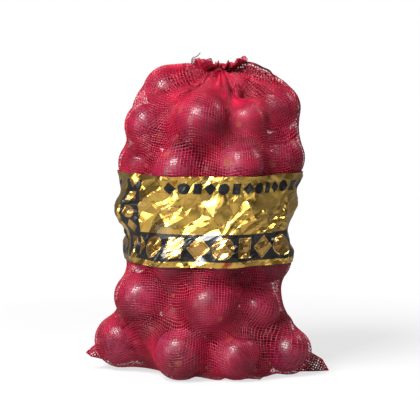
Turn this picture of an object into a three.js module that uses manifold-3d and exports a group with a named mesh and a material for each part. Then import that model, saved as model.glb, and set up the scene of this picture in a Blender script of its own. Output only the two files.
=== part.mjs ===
// A net of red onions, standing upright: a woven net bag packed with about five
// kilograms of onions, gathered at the top by a drawstring, with a band of
// printed film round its middle. Millimetres, +Z up. The origin is on the floor
// under the middle of the whole, ears included, and -Y is the front.
//
// The bag is one closed solid. Its skin is worked out as a taut membrane: rays
// fan out from a line up the middle of the bag, and each point of the skin
// settles along its ray until it hangs straight between its neighbours or rests
// on an onion. Then it sinks in a little between the onions, as a slack net does.

import Module from "manifold-3d";
import * as THREE from "three";
import { mergeVertices } from "three/addons/utils/BufferGeometryUtils.js";

// ---- Driving dimensions ----------------------------------------------------

// Places below are measured from the middle of the packed bag. The ears make the
// whole a little lopsided, so at the end it is moved by its own middle.
const MIDDLE_X = -3.5;
const MIDDLE_Y = -0.95;

const NET_CLEARANCE = 1.2; // from an onion's skin to the net
const BASE_HALF_WIDTH = 68; // the flat that the bag stands on, at the least
const BASE_HALF_DEPTH = 44;

// The line that the rays start from, up the middle of the bag.
const FLOOR_FAN_Z = 62; // rays to the floor fan out from this height
const SHOULDER_FAN_Z = 285; // and rays to the shoulders from this one
const SPINE_X_LOW = -6;
const SPINE_X_HIGH = 12;

// The room that the onions are packed into, by height.
const ENVELOPE = [
  { z: 0, middleX: -7, halfWidth: 118, halfDepth: 86 },
  { z: 35, middleX: -7, halfWidth: 118, halfDepth: 86 },
  { z: 85, middleX: -13, halfWidth: 93, halfDepth: 85 },
  { z: 130, middleX: -3, halfWidth: 96, halfDepth: 84 },
  { z: 190, middleX: -4, halfWidth: 100, halfDepth: 84 },
  { z: 240, middleX: 1, halfWidth: 104, halfDepth: 84 },
  { z: 300, middleX: 4, halfWidth: 98, halfDepth: 80 },
  { z: 345, middleX: 5, halfWidth: 76, halfDepth: 60 },
];
const CROWN_Z = 345; // no onion is set higher by rule

// The onions that show at the front and sides: centre x, y, z and diameter.
const SEEN_ONIONS = [
  // Standing on the floor, left to right
  { x: -103, y: 6, z: 33, diameter: 60 },
  { x: -33, y: -56, z: 30, diameter: 59 },
  { x: 30, y: -56, z: 27.5, diameter: 54 },
  { x: 89, y: -27, z: 27, diameter: 52 },
  // Second course
  { x: -79, y: -28, z: 90, diameter: 58 },
  { x: 1, y: -54, z: 82, diameter: 61 },
  { x: 57, y: -33, z: 78, diameter: 50 },
  // Under the lower half of the film band
  { x: -72, y: 14, z: 140, diameter: 54 },
  { x: -42, y: -47, z: 136, diameter: 57 },
  { x: 12, y: -57, z: 141, diameter: 54 },
  { x: 61, y: -21, z: 134, diameter: 62 },
  // Under the upper half of the film band
  { x: -77, y: -16, z: 190, diameter: 56 },
  { x: -16, y: -50, z: 187, diameter: 52 },
  { x: 38, y: -48, z: 186, diameter: 54 },
  { x: 67, y: 6, z: 192, diameter: 59 },
  // Just over the film band
  { x: -77, y: 10, z: 239, diameter: 55 },
  { x: -37, y: -51, z: 237, diameter: 56 },
  { x: 34, y: -52, z: 241, diameter: 57 },
  { x: 79, y: -9, z: 247, diameter: 56 },
  // Shoulders
  { x: -68, y: -22, z: 284, diameter: 55 },
  { x: -10, y: -50, z: 293, diameter: 61 },
  { x: 42, y: -34, z: 290, diameter: 44 },
  { x: 74, y: 4, z: 303, diameter: 57 },
  // Crown
  { x: -47, y: 10, z: 322, diameter: 57 },
  { x: 20, y: -2, z: 316, diameter: 46 },
];

// The onions round the back stand in courses, by rule. A bearing is counted in
// degrees from the front, through the right-hand side.
const BACK_COURSES = [
  { z: 30, from: 118, to: 242, count: 3 },
  { z: 85, from: 112, to: 245, count: 3 },
  { z: 137, from: 126, to: 238, count: 3 },
  { z: 190, from: 128, to: 232, count: 3 },
  { z: 240, from: 124, to: 236, count: 3 },
  { z: 290, from: 132, to: 222, count: 3 },
  { z: 322, from: 160, to: 160, count: 1 },
];
// The onions in the middle of the bag, one over another, which only show as
// dark shapes through the gaps.
const CORE_HEIGHTS = [34, 84, 134, 184, 234];
const CORE_SPREAD = 8; // how far to the front or back they wander
const RULED_DIAMETER = 57; // of the onions placed by rule
const DIAMETER_SPREAD = 8;
const HEIGHT_SPREAD = 9;
const SETTLING_ROUNDS = 200;
const ONION_SEED = 2;

// Where the net lies in a stiff fold, it stands off the onions along a line.
const FOLDS = [
  // From the neck over both shoulders
  { path: [[20, 0, 344], [44, 0, 349], [62, 2, 342.5], [79, 3, 337], [90, 4, 331]], radius: 2 },
  { path: [[3, 0, 344], [-12, 2, 350], [-30, 6, 351], [-46, 10, 349]], radius: 2 },
  // Down the left shoulder
  { path: [[-71, 6, 336], [-83, 2, 319], [-91, -6, 302]], radius: 1.5 },
  // The bottom edge, spread on the floor along the front
  { path: [[-42, -54, 2], [-10, -63, 2], [34, -66, 2], [76, -54, 2], [103, -20, 2]], radius: 1.5 },
];
// Two slanting folds at the lower right, which sink in with the slack net.
const SLACK_FOLDS = [
  { path: [[26, -79, 101], [80, -36, 108]], radius: 2 },
  { path: [[38, -72, 56], [84, -30, 66]], radius: 2 },
];
const FOLD_BEAD_SPACING = 3;

// The corners of the flat-sewn bottom seam stick out as two ears, a double layer
// of net each. Their outlines are x, z points that start and end in the bag.
const EAR_THICKNESS = 2.4;
const EARS = [
  { y: -4, outline: [[-104, 12], [-120, 12], [-138, 16.5], [-144, 21], [-128, 34], [-106, 42]] },
  { y: -14, outline: [[90, 3], [107, 0.5], [137, 2], [130, 14], [114, 24], [96, 36]] },
];

// The neck, and the drawstring round it.
const NECK_X = SPINE_X_HIGH;
const NECK_Z = 345;
const NECK_RADIUS = 9.5;
const GROOVE_RADIUS = 7.4;
const GROOVE_HALF_HEIGHT = 1.5;
const DRAWSTRING_Z = 349.2;
const DRAWSTRING_DIAMETER = 2.2;
const DRAWSTRING_RING_RADIUS = 9.4;
// The drawstring's loose end lies over the right shoulder and down behind it.
const TAIL_ROUTE = [
  [22.9, 0, 349.4],
  [26, 0, 351],
  [34.5, 0, 354],
  [43.5, 0, 355],
  [52, 0.5, 353],
  [60, 1.5, 349],
  [67.5, 3.5, 345.5],
  [72, 8.5, 340],
  [76, 16, 333],
  [78.5, 24, 326],
  [78, 31, 317],
  [74.5, 36.5, 307.5],
];
const TAIL_STEPS = 24;
const KNOT_RADIUS = 3.2;
const KNOT_GAP = 0.3;
const CORD_SIDES = 8;
const RING_SEGMENTS = 40;

// The net is pleated toward the neck, and stands over the drawstring as a frill.
const PLEATS = 12;
const PLEAT_DEPTH = 2.6;
const PLEAT_FIRST_RISE = 0.72; // sine of the latitude where the pleats start
const PLEAT_FULL_RISE = 0.98;
const COLLAR_RADIUS = 10.4;
const COLLAR_Z = 353;
const FRILL_REACH = { front: 13, back: 18, side: 32 };
const FRILL_EDGE_Z = 358;
const FRILL_RIGHT_LIFT = 4; // its right side stands this much higher
const FRILL_WAVE = 1.5;
const FRILL_THICKNESS = 2.4;
const FRILL_FLOOR_RADIUS = 5;
const FRILL_FLOOR_Z = 354.5;

// The printed film band.
const BAND_LOW_Z = 130;
const BAND_HIGH_Z = 231;
const BAND_THICKNESS = 1.0;
const BAND_GAP = 0.4;

// How much of the pull on a point runs round the bag, and not up and down it.
const LOW_HOOP_SHARE = 0.75; // of the net under the film band
const HIGH_HOOP_SHARE = 0.35; // of the net over it
const FILM_HOOP_SHARE = 0.85;

// The net is a little slack over the front and back: it sinks in between the
// onions, under its taut line.
const SAG = 11; // the most that it sinks
const SAG_ROOM = 13; // how far the next onion lies behind it, for two thirds of that
const SAG_SMOOTHING_ROUNDS = 3;
const SAG_FADE = 12; // over and under the film band, which holds the net

// ---- Grid of rays ----------------------------------------------------------

// The rays are set at twice the mesh's columns and rows, and the mesh takes
// every second one.
const MESH_COLUMNS = 72;
const COLUMNS = 2 * MESH_COLUMNS;
const COLUMN_STEP = (2 * Math.PI) / COLUMNS;
const FLOOR_LATITUDES = [-80, -69, -59, -50, -42, -35, -29, -23, -17, -11.5, -5.5];
const LOW_WALL_ROWS = 7;
const BAND_ROWS = 11;
const HIGH_WALL_ROWS = 6;
const SHOULDER_ROWS = 12;
const NECK_LATITUDE = THREE.MathUtils.radToDeg(
  Math.atan2(NECK_Z - SHOULDER_FAN_Z, NECK_RADIUS),
);
const MEMBRANE_ROUNDS = 240;
const OVERSHOOT = 1.75; // how far each round moves a point, over how far it hangs off
const FIRST_REACH = 90; // where each ray's point starts, before it settles
const LEAST_REACH = 20; // and the least it may settle to
const DEG = Math.PI / 180;

// Evenly spaced values from a to b, without a.
function stepsTo(a, b, count) {
  return Array.from({ length: count }, (_, i) => a + ((b - a) * (i + 1)) / count);
}

// The mesh's rows, from the floor to the neck: where each row's rays start, and
// how steeply they rise.
function meshRows() {
  const fan = FLOOR_LATITUDES.map((latitude) => ({ z: FLOOR_FAN_Z, latitude }));
  const heights = [
    FLOOR_FAN_Z,
    ...stepsTo(FLOOR_FAN_Z, BAND_LOW_Z, LOW_WALL_ROWS),
    ...stepsTo(BAND_LOW_Z, BAND_HIGH_Z, BAND_ROWS),
    ...stepsTo(BAND_HIGH_Z, SHOULDER_FAN_Z, HIGH_WALL_ROWS),
  ];
  const wall = heights.map((z) => ({ z, latitude: 0 }));
  const shoulder = stepsTo(0, NECK_LATITUDE, SHOULDER_ROWS).map((latitude) => ({
    z: SHOULDER_FAN_Z,
    latitude,
  }));
  return [...fan, ...wall, ...shoulder];
}

// The rows of rays: the mesh's rows, with one more half way between each pair.
function rayRows() {
  const rows = [];
  meshRows().forEach((row, i, all) => {
    if (i > 0) {
      const below = all[i - 1];
      rows.push({ z: (row.z + below.z) / 2, latitude: (row.latitude + below.latitude) / 2 });
    }
    rows.push(row);
  });
  return rows.map(({ z, latitude }) => ({
    z,
    x: spineX(z),
    rise: Math.sin(latitude * DEG),
    run: Math.cos(latitude * DEG),
  }));
}

// Where the line up the middle of the bag is, at a height.
function spineX(z) {
  const t = THREE.MathUtils.smoothstep(z, FLOOR_FAN_Z, SHOULDER_FAN_Z);
  return THREE.MathUtils.lerp(SPINE_X_LOW, SPINE_X_HIGH, t);
}

// The direction of a ray. Column 0 points right, and columns go round
// anticlockwise as seen from above.
function rayDirection(row, column) {
  const angle = column * COLUMN_STEP;
  return new THREE.Vector3(row.run * Math.cos(angle), row.run * Math.sin(angle), row.rise);
}

// The point at a reach along a ray.
function pointOnRay(row, column, reach) {
  return rayDirection(row, column)
    .multiplyScalar(reach)
    .add(new THREE.Vector3(row.x, 0, row.z));
}

// ---- Onions ----------------------------------------------------------------

// Repeatable random numbers from 0 to 1.
function seededRandom(seed) {
  let state = seed;
  return () => {
    state = (state * 1664525 + 1013904223) % 4294967296;
    return state / 4294967296;
  };
}

// The bag's middle, half width and half depth at a height.
function envelopeAt(z) {
  const next = ENVELOPE.findIndex((ring) => ring.z >= z);
  const above = next < 1 ? (next < 0 ? ENVELOPE.length - 1 : 1) : next;
  const [low, high] = [ENVELOPE[above - 1], ENVELOPE[above]];
  const t = THREE.MathUtils.clamp((z - low.z) / (high.z - low.z), 0, 1);
  const between = (key) => THREE.MathUtils.lerp(low[key], high[key], t);
  return {
    middleX: between("middleX"),
    halfWidth: between("halfWidth"),
    halfDepth: between("halfDepth"),
  };
}

// The onions round the back, set against the net.
function backOnions(random) {
  return BACK_COURSES.flatMap(({ z, from, to, count }) =>
    Array.from({ length: count }, (_, i) => {
      const bearing = (count > 1 ? from + ((to - from) * i) / (count - 1) : from) * DEG;
      const radius = (RULED_DIAMETER + DIAMETER_SPREAD * (random() - 0.5)) / 2;
      const height = Math.max(radius, z + HEIGHT_SPREAD * (random() - 0.5));
      const room = envelopeAt(height);
      return {
        centre: new THREE.Vector3(
          room.middleX + (room.halfWidth - radius) * Math.sin(bearing),
          -(room.halfDepth - radius) * Math.cos(bearing),
          height,
        ),
        radius,
        free: true,
      };
    }),
  );
}

// The onions up the middle.
function coreOnions(random) {
  return CORE_HEIGHTS.map((z) => ({
    centre: new THREE.Vector3(spineX(z), CORE_SPREAD * (random() - 0.5), z),
    radius: (RULED_DIAMETER + DIAMETER_SPREAD * (random() - 0.5)) / 2,
    free: true,
  }));
}

// Pushes a free onion back inside the bag.
function keepInside(onion) {
  const { centre, radius } = onion;
  const room = envelopeAt(centre.z);
  const across = (centre.x - room.middleX) / (room.halfWidth - radius);
  const deep = centre.y / (room.halfDepth - radius);
  const out = Math.hypot(across, deep);
  if (out > 1) {
    centre.x = room.middleX + (centre.x - room.middleX) / out;
    centre.y /= out;
  }
  centre.z = THREE.MathUtils.clamp(centre.z, radius, CROWN_Z - radius);
}

// Moves the free onions apart, then trims those that still run into another.
function settle(onions) {
  const push = new THREE.Vector3();
  for (let round = 0; round < SETTLING_ROUNDS; round++) {
    for (const onion of onions.filter((each) => each.free)) {
      for (const other of onions) {
        if (other === onion) continue;
        push.subVectors(onion.centre, other.centre);
        const overlap = onion.radius + other.radius - push.length();
        if (overlap <= 0) continue;
        onion.centre.addScaledVector(push.normalize(), other.free ? overlap / 2 : overlap);
      }
      keepInside(onion);
    }
  }
  for (const onion of onions.filter((each) => each.free)) {
    for (const other of onions) {
      if (other === onion) continue;
      const apart = onion.centre.distanceTo(other.centre) - other.radius;
      onion.radius = Math.min(onion.radius, apart);
    }
  }
}

// All the onions in the bag, as balls.
function packOnions() {
  const random = seededRandom(ONION_SEED);
  const seen = SEEN_ONIONS.map(({ x, y, z, diameter }) => ({
    centre: new THREE.Vector3(x, y, z),
    radius: diameter / 2,
    free: false,
  }));
  const onions = [...seen, ...backOnions(random), ...coreOnions(random)];
  settle(onions);
  return onions;
}

// How far along a ray its last crossing with a ball is, or 0.
function reachOfBall(start, direction, { centre, radius }, clearance) {
  const x = centre.x - start.x;
  const y = centre.y - start.y;
  const z = centre.z - start.z;
  const middle = x * direction.x + y * direction.y + z * direction.z;
  const inside = (radius + clearance) ** 2 - (x * x + y * y + z * z - middle * middle);
  return inside > 0 ? Math.max(0, middle + Math.sqrt(inside)) : 0;
}

// The beads along folds that the net is lifted by.
function foldBeads(folds) {
  return folds.flatMap(({ path, radius }) => {
    const curve = new THREE.CatmullRomCurve3(path.map((point) => new THREE.Vector3(...point)));
    const count = Math.ceil(curve.getLength() / FOLD_BEAD_SPACING);
    return curve.getSpacedPoints(count).map((centre) => ({ centre, radius }));
  });
}

// ---- The net as a taut membrane --------------------------------------------

// How far each ray may reach before it meets the floor.
function floorReach(row) {
  return row.rise < 0 ? -row.z / row.rise : Infinity;
}

// The least reach of each ray: what the net rests on there.
function supports(rows, balls) {
  return rows.map((row) => {
    const start = new THREE.Vector3(row.x, 0, row.z);
    const floor = floorReach(row);
    return Float64Array.from({ length: COLUMNS }, (_, column) => {
      const direction = rayDirection(row, column);
      const foot = direction.clone().multiplyScalar(floor);
      if (Math.hypot(foot.x / BASE_HALF_WIDTH, foot.y / BASE_HALF_DEPTH) <= 1) return floor;
      let reach = 0;
      for (const ball of balls) {
        reach = Math.max(reach, reachOfBall(start, direction, ball, NET_CLEARANCE));
      }
      return Math.min(reach, floor);
    });
  });
}

// Where the straight line between two rows' points crosses the row between.
function chordUp(row, below, lowReach, above, highReach) {
  const lowRun = below.run * lowReach;
  const lowZ = below.z + below.rise * lowReach - row.z;
  const run = above.run * highReach - lowRun;
  const rise = above.z + above.rise * highReach - row.z - lowZ;
  return (lowRun * rise - lowZ * run) / (row.run * rise - row.rise * run);
}

// Where the straight line between two neighbours in one row crosses the ray.
function chordRound(left, right) {
  return (2 * left * right * Math.cos(COLUMN_STEP)) / (left + right);
}

// Lets the rays' points settle: each hangs straight between its neighbours,
// rests on its support, or lies on the floor. The first and last rows stay where
// they are, or follow their own row only. One over the reach is what is averaged,
// because along a straight line it changes evenly.
function relax(rows, reaches, support, { hoopShare, freeEnds }) {
  const [first, last] = freeEnds ? [0, rows.length - 1] : [1, rows.length - 2];
  for (let round = 0; round < MEMBRANE_ROUNDS; round++) {
    for (let i = first; i <= last; i++) {
      const atEnd = i === 0 || i === rows.length - 1;
      const here = reaches[i];
      for (let j = 0; j < COLUMNS; j++) {
        let hung = 1 / chordRound(here[(j + COLUMNS - 1) % COLUMNS], here[(j + 1) % COLUMNS]);
        if (!atEnd) {
          const [low, high] = [reaches[i - 1][j], reaches[i + 1][j]];
          const up = 1 / chordUp(rows[i], rows[i - 1], low, rows[i + 1], high);
          hung = THREE.MathUtils.lerp(up, hung, hoopShare(rows[i]));
        }
        const moved = 1 / here[j] + OVERSHOOT * (hung - 1 / here[j]);
        const least = Math.max(support[i][j], LEAST_REACH);
        here[j] = Math.min(Math.max(least, 1 / moved), floorReach(rows[i]));
      }
    }
  }
  return reaches;
}

// The pleats that run down the shoulders from the neck, as a change of reach.
function pleatLift(row, column) {
  const nearNeck = THREE.MathUtils.smoothstep(row.rise, PLEAT_FIRST_RISE, PLEAT_FULL_RISE);
  return nearNeck * (PLEAT_DEPTH / 2) * Math.cos(PLEATS * column * COLUMN_STEP);
}

// The share of the sag that the net has on a ray: none under the film, at the
// sides, where the onions hold it out, and where it turns under or to the neck.
function sagShare(row, column) {
  const { smoothstep } = THREE.MathUtils;
  const under = smoothstep(BAND_LOW_Z - row.z, 0, SAG_FADE);
  const over = smoothstep(row.z - BAND_HIGH_Z, 0, SAG_FADE);
  const across = Math.cos(column * COLUMN_STEP) ** 4;
  return Math.max(under, over) * (1 - across) * row.run ** 2;
}

// Works a value out for every ray from its own and its four neighbours' values.
function fromNeighbours(values, combine) {
  return values.map((here, i) => {
    const low = values[Math.max(0, i - 1)];
    const high = values[Math.min(values.length - 1, i + 1)];
    return here.map((each, j) => {
      const before = here[(j + COLUMNS - 1) % COLUMNS];
      return combine(each, [before, here[(j + 1) % COLUMNS], low[j], high[j]]);
    });
  });
}

// How far the slack net sinks along each ray, from the room behind it. It is
// narrowed first, so that it is next to nothing where the net touches an onion.
function sags(rows, reaches, support) {
  const sag = reaches.map((reach, i) =>
    reach.map((each, j) => {
      const room = each - Math.max(support[i][j], LEAST_REACH);
      return sagShare(rows[i], j) * SAG * (1 - Math.exp(-room / SAG_ROOM));
    }),
  );
  let smooth = fromNeighbours(sag, (each, beside) => Math.min(each, ...beside));
  for (let round = 0; round < SAG_SMOOTHING_ROUNDS; round++) {
    const blend = (each, beside) => each / 2 + beside.reduce((sum, next) => sum + next) / 8;
    smooth = fromNeighbours(smooth, blend);
  }
  return smooth;
}

// The net's share of pull round the bag in a row, less toward the neck.
function netHoopShare(row) {
  const t = THREE.MathUtils.smoothstep(row.z, BAND_LOW_Z, BAND_HIGH_Z);
  return THREE.MathUtils.lerp(LOW_HOOP_SHARE, HIGH_HOOP_SHARE, t) * row.run;
}

// The reach of every ray to the net.
function netReaches(rows) {
  const firm = supports(rows, [...packOnions(), ...foldBeads(FOLDS)]);
  const slack = supports(rows, foldBeads(SLACK_FOLDS));
  const support = firm.map((row, i) => row.map((each, j) => Math.max(each, slack[i][j])));
  const neckReach = Math.hypot(NECK_Z - SHOULDER_FAN_Z, NECK_RADIUS);
  const reaches = rows.map((row, i) => {
    if (i === rows.length - 1) return new Float64Array(COLUMNS).fill(neckReach);
    const first = Math.min(FIRST_REACH, floorReach(row));
    return Float64Array.from(support[i], (least) => Math.max(least, first));
  });
  relax(rows, reaches, support, { hoopShare: netHoopShare, freeEnds: false });
  const sag = sags(rows, reaches, firm);
  return reaches.map((reach, i) =>
    reach.map((each, j) => each - sag[i][j] + pleatLift(rows[i], j)),
  );
}

// ---- Solids ----------------------------------------------------------------

// How far out the frill's edge is, by direction.
function frillReach(angle) {
  const { front, back, side } = FRILL_REACH;
  const across = THREE.MathUtils.lerp(front, back, Math.max(0, Math.sin(angle)));
  return THREE.MathUtils.lerp(across, side, Math.abs(Math.cos(angle)) ** 1.5);
}

// How high the frill's edge is, by direction.
function frillHeight(angle) {
  const right = Math.max(0, Math.cos(angle)) ** 2;
  return FRILL_EDGE_Z + FRILL_RIGHT_LIFT * right + FRILL_WAVE * Math.cos(3 * angle + 1);
}

// A ring of the frill: a share of the way from the collar to the edge, and then
// set in and up from its outer face.
function frillRing(share, inset, lift) {
  return (angle) => {
    const pleat = share * Math.cos(PLEATS * angle);
    return {
      radius: THREE.MathUtils.lerp(COLLAR_RADIUS, frillReach(angle), share) - inset + 1.5 * pleat,
      z: THREE.MathUtils.lerp(COLLAR_Z, frillHeight(angle), share) + lift + pleat,
    };
  };
}

// The rings over the last row of rays: in to the drawstring's groove, out over
// the frill, and back down inside it.
function neckRings() {
  const flat = (radius, z) => () => ({ radius, z });
  return [
    flat(GROOVE_RADIUS, DRAWSTRING_Z - GROOVE_HALF_HEIGHT),
    flat(GROOVE_RADIUS, DRAWSTRING_Z + GROOVE_HALF_HEIGHT),
    flat(COLLAR_RADIUS, COLLAR_Z),
    frillRing(0.5, 0, 0),
    frillRing(1, 0, -FRILL_THICKNESS / 2),
    frillRing(1, 0.8, FRILL_THICKNESS / 2),
    frillRing(0.5, 2, FRILL_THICKNESS),
    flat(FRILL_FLOOR_RADIUS, FRILL_FLOOR_Z),
  ];
}

// Collects rings of corners, and the walls between them, into one closed mesh.
class RingMesh {
  constructor() {
    this.corners = [];
    this.faces = [];
  }

  // Adds corners and returns their numbers.
  add(points) {
    return points.map((point) => this.corners.push(point) - 1);
  }

  // A wall between two rings, facing out of the bag, or into it.
  wall(lower, upper, facingOut = true) {
    lower.forEach((a, i) => {
      const next = (i + 1) % lower.length;
      const pair = [
        [a, lower[next], upper[i]],
        [upper[i], lower[next], upper[next]],
      ];
      for (const face of pair) this.faces.push(facingOut ? face : face.toReversed());
    });
  }

  // A fan from one corner to a ring, facing up or down.
  cap(ring, point, facingUp) {
    const [middle] = this.add([point]);
    ring.forEach((a, i) => {
      const face = [a, ring[(i + 1) % ring.length], middle];
      this.faces.push(facingUp ? face : face.toReversed());
    });
  }

  geometry() {
    const geometry = new THREE.BufferGeometry().setFromPoints(this.corners);
    geometry.setIndex(this.faces.flat());
    geometry.computeVertexNormals();
    return geometry;
  }
}

// Every second one of a list, from the first.
function alternate(list) {
  return list.filter((_, i) => i % 2 === 0);
}

const meshColumnNumbers = alternate(Array.from({ length: COLUMNS }, (_, column) => column));

// A ring of the mesh's corners along one row of rays, no lower than the floor.
function ringOnRow(row, reach, thickness = 0) {
  return meshColumnNumbers.map((column) => {
    const corner = pointOnRay(row, column, reach[column] + thickness);
    corner.z = Math.max(0, corner.z);
    return corner;
  });
}

// The net bag without its ears, from the floor over the neck to the frill.
function netBagGeometry(rows, reaches) {
  const mesh = new RingMesh();
  const rings = alternate(rows).map((row, i) => mesh.add(ringOnRow(row, reaches[2 * i])));
  for (const ring of neckRings()) {
    const corners = meshColumnNumbers.map((column) => {
      const angle = column * COLUMN_STEP;
      const { radius, z } = ring(angle);
      return new THREE.Vector3(NECK_X + radius * Math.cos(angle), radius * Math.sin(angle), z);
    });
    rings.push(mesh.add(corners));
  }
  for (let i = 1; i < rings.length; i++) mesh.wall(rings[i - 1], rings[i]);
  mesh.cap(rings[0], new THREE.Vector3(SPINE_X_LOW, 0, 0), false);
  mesh.cap(rings.at(-1), new THREE.Vector3(NECK_X, 0, FRILL_FLOOR_Z), true);
  return mesh.geometry();
}

// The film band: a ring with an inner and an outer face, pulled tight over the
// net.
function filmBandGeometry(rows, reaches) {
  const first = rows.findIndex((row) => row.z === BAND_LOW_Z);
  const last = rows.findIndex((row) => row.z === BAND_HIGH_Z);
  const bandRows = rows.slice(first, last + 1);
  const over = reaches.slice(first, last + 1).map((row) => row.map((each) => each + BAND_GAP));
  const tight = relax(bandRows, over.map((row) => row.slice()), over, {
    hoopShare: () => FILM_HOOP_SHARE,
    freeEnds: true,
  });
  const mesh = new RingMesh();
  const face = (thickness) =>
    alternate(bandRows).map((row, i) => mesh.add(ringOnRow(row, tight[2 * i], thickness)));
  const inner = face(0);
  const outer = face(BAND_THICKNESS);
  for (let i = 1; i < outer.length; i++) {
    mesh.wall(outer[i - 1], outer[i]);
    mesh.wall(inner[i - 1], inner[i], false);
  }
  mesh.wall(outer.at(-1), inner.at(-1));
  mesh.wall(inner[0], outer[0]);
  return mesh.geometry();
}

// A closed mesh for booleans from a geometry, with its like corners merged.
function toManifold(wasm, geometry) {
  const bare = geometry.clone();
  bare.deleteAttribute("normal");
  bare.deleteAttribute("uv");
  const merged = mergeVertices(bare);
  return new wasm.Manifold(
    new wasm.Mesh({
      numProp: 3,
      vertProperties: merged.getAttribute("position").array,
      triVerts: Uint32Array.from(merged.index.array),
    }),
  );
}

// The geometry of a boolean's result.
function fromManifold(solid) {
  const mesh = solid.getMesh();
  const geometry = new THREE.BufferGeometry();
  geometry.setAttribute("position", new THREE.BufferAttribute(mesh.vertProperties, 3));
  geometry.setIndex(Array.from(mesh.triVerts));
  geometry.computeVertexNormals();
  return geometry;
}

// An ear: its outline stood upright, across the front.
function earGeometry({ y, outline }) {
  const shape = new THREE.Shape(outline.map(([x, z]) => new THREE.Vector2(x, z)));
  const geometry = new THREE.ExtrudeGeometry(shape, { depth: EAR_THICKNESS, bevelEnabled: false });
  geometry.rotateX(Math.PI / 2);
  return geometry.translate(0, y + EAR_THICKNESS / 2, 0);
}

// The net bag with its ears joined on.
function earedBagGeometry(wasm, rows, reaches) {
  const bag = toManifold(wasm, netBagGeometry(rows, reaches));
  return fromManifold(EARS.reduce((solid, ear) => solid.add(toManifold(wasm, earGeometry(ear))), bag));
}

// The section of a round cord.
function roundSection(diameter, sides) {
  const corners = Array.from({ length: sides }, (_, i) => {
    const angle = (2 * Math.PI * i) / sides;
    return new THREE.Vector2(Math.cos(angle), Math.sin(angle)).multiplyScalar(diameter / 2);
  });
  return new THREE.Shape(corners);
}

// The drawstring's loose end.
function tailGeometry() {
  const route = new THREE.CatmullRomCurve3(TAIL_ROUTE.map((point) => new THREE.Vector3(...point)));
  return new THREE.ExtrudeGeometry(roundSection(DRAWSTRING_DIAMETER, CORD_SIDES), {
    steps: TAIL_STEPS,
    extrudePath: route,
    bevelEnabled: false,
  });
}

// The knot sits on the tail's far end, in line with it.
function knotCentre() {
  const [before, end] = TAIL_ROUTE.slice(-2).map((point) => new THREE.Vector3(...point));
  return end.clone().add(end.clone().sub(before).setLength(KNOT_RADIUS + KNOT_GAP));
}

const MATERIALS = {
  net: new THREE.MeshStandardMaterial({ color: 0xb3173f, roughness: 0.6, metalness: 0 }),
  film: new THREE.MeshStandardMaterial({ color: 0xc79a3a, roughness: 0.25, metalness: 1 }),
  drawstring: new THREE.MeshStandardMaterial({ color: 0x15110f, roughness: 0.7, metalness: 0 }),
};

function namedMesh(name, geometry, material) {
  const mesh = new THREE.Mesh(geometry, material);
  mesh.name = name;
  return mesh;
}

const wasm = await Module();
wasm.setup();
const rows = rayRows();
const reaches = netReaches(rows);

const onionNet = new THREE.Group();
onionNet.name = "net_of_red_onions";
onionNet.add(namedMesh("net_bag", earedBagGeometry(wasm, rows, reaches), MATERIALS.net));
onionNet.add(namedMesh("film_band", filmBandGeometry(rows, reaches), MATERIALS.film));

const ring = new THREE.TorusGeometry(
  DRAWSTRING_RING_RADIUS,
  DRAWSTRING_DIAMETER / 2,
  CORD_SIDES,
  RING_SEGMENTS,
);
const drawstring = namedMesh("drawstring", ring, MATERIALS.drawstring);
drawstring.position.set(NECK_X, 0, DRAWSTRING_Z);
onionNet.add(drawstring);

onionNet.add(namedMesh("drawstring_tail", tailGeometry(), MATERIALS.drawstring));
const knot = namedMesh(
  "drawstring_knot",
  new THREE.SphereGeometry(KNOT_RADIUS, 12, 8),
  MATERIALS.drawstring,
);
knot.position.copy(knotCentre());
onionNet.add(knot);
onionNet.position.set(-MIDDLE_X, -MIDDLE_Y, 0);

export default onionNet;
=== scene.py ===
"""A net of red onions: a woven net bag full of onions, with a band of gold film round it.

Sizes are in millimetres and in the bag's own coordinates, which part.mjs uses too: the
packed bag's middle is at X 0, Y 0, the floor is at Z 0, and -Y is the front. Every mesh
is moved by BAG_SHIFT and turned into metres as it is made.
"""

import logging
import math
from dataclasses import dataclass
from enum import Enum

import bpy
import numpy as np
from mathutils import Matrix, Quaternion, Vector
from mathutils.bvhtree import BVHTree

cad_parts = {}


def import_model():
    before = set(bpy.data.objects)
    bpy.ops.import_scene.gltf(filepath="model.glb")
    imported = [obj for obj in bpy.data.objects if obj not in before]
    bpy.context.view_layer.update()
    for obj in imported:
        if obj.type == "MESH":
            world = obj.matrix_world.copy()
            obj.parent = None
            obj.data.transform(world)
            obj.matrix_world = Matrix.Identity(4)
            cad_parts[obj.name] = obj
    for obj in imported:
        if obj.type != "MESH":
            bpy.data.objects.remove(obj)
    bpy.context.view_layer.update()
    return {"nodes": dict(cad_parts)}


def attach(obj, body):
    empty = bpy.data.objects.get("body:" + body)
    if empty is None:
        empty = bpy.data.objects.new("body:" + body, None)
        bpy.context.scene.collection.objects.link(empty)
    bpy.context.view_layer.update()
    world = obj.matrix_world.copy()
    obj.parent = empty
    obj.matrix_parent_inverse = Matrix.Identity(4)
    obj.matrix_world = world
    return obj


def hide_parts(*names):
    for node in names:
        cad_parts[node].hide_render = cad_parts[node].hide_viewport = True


LOG = logging.getLogger("onion_net")
MM = 0.001
BAG_SHIFT = np.array([3.5, 0.95, 0.0])
FULL_TURN = 2 * math.pi
# The height of the bag's waist, where the net's upright tapes are evenly spaced.
WAIST_Z = 180.5
# The inner folds start where the skin's rays rise this steeply.
SHOULDER_RISE = 0.42
# The onions that show their root ends, by number, and which way those point.
ROOTS_SHOWN = ((1, (-0.1, -0.95, -0.3)), (17, (-0.62, -0.75, 0.2)))
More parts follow.
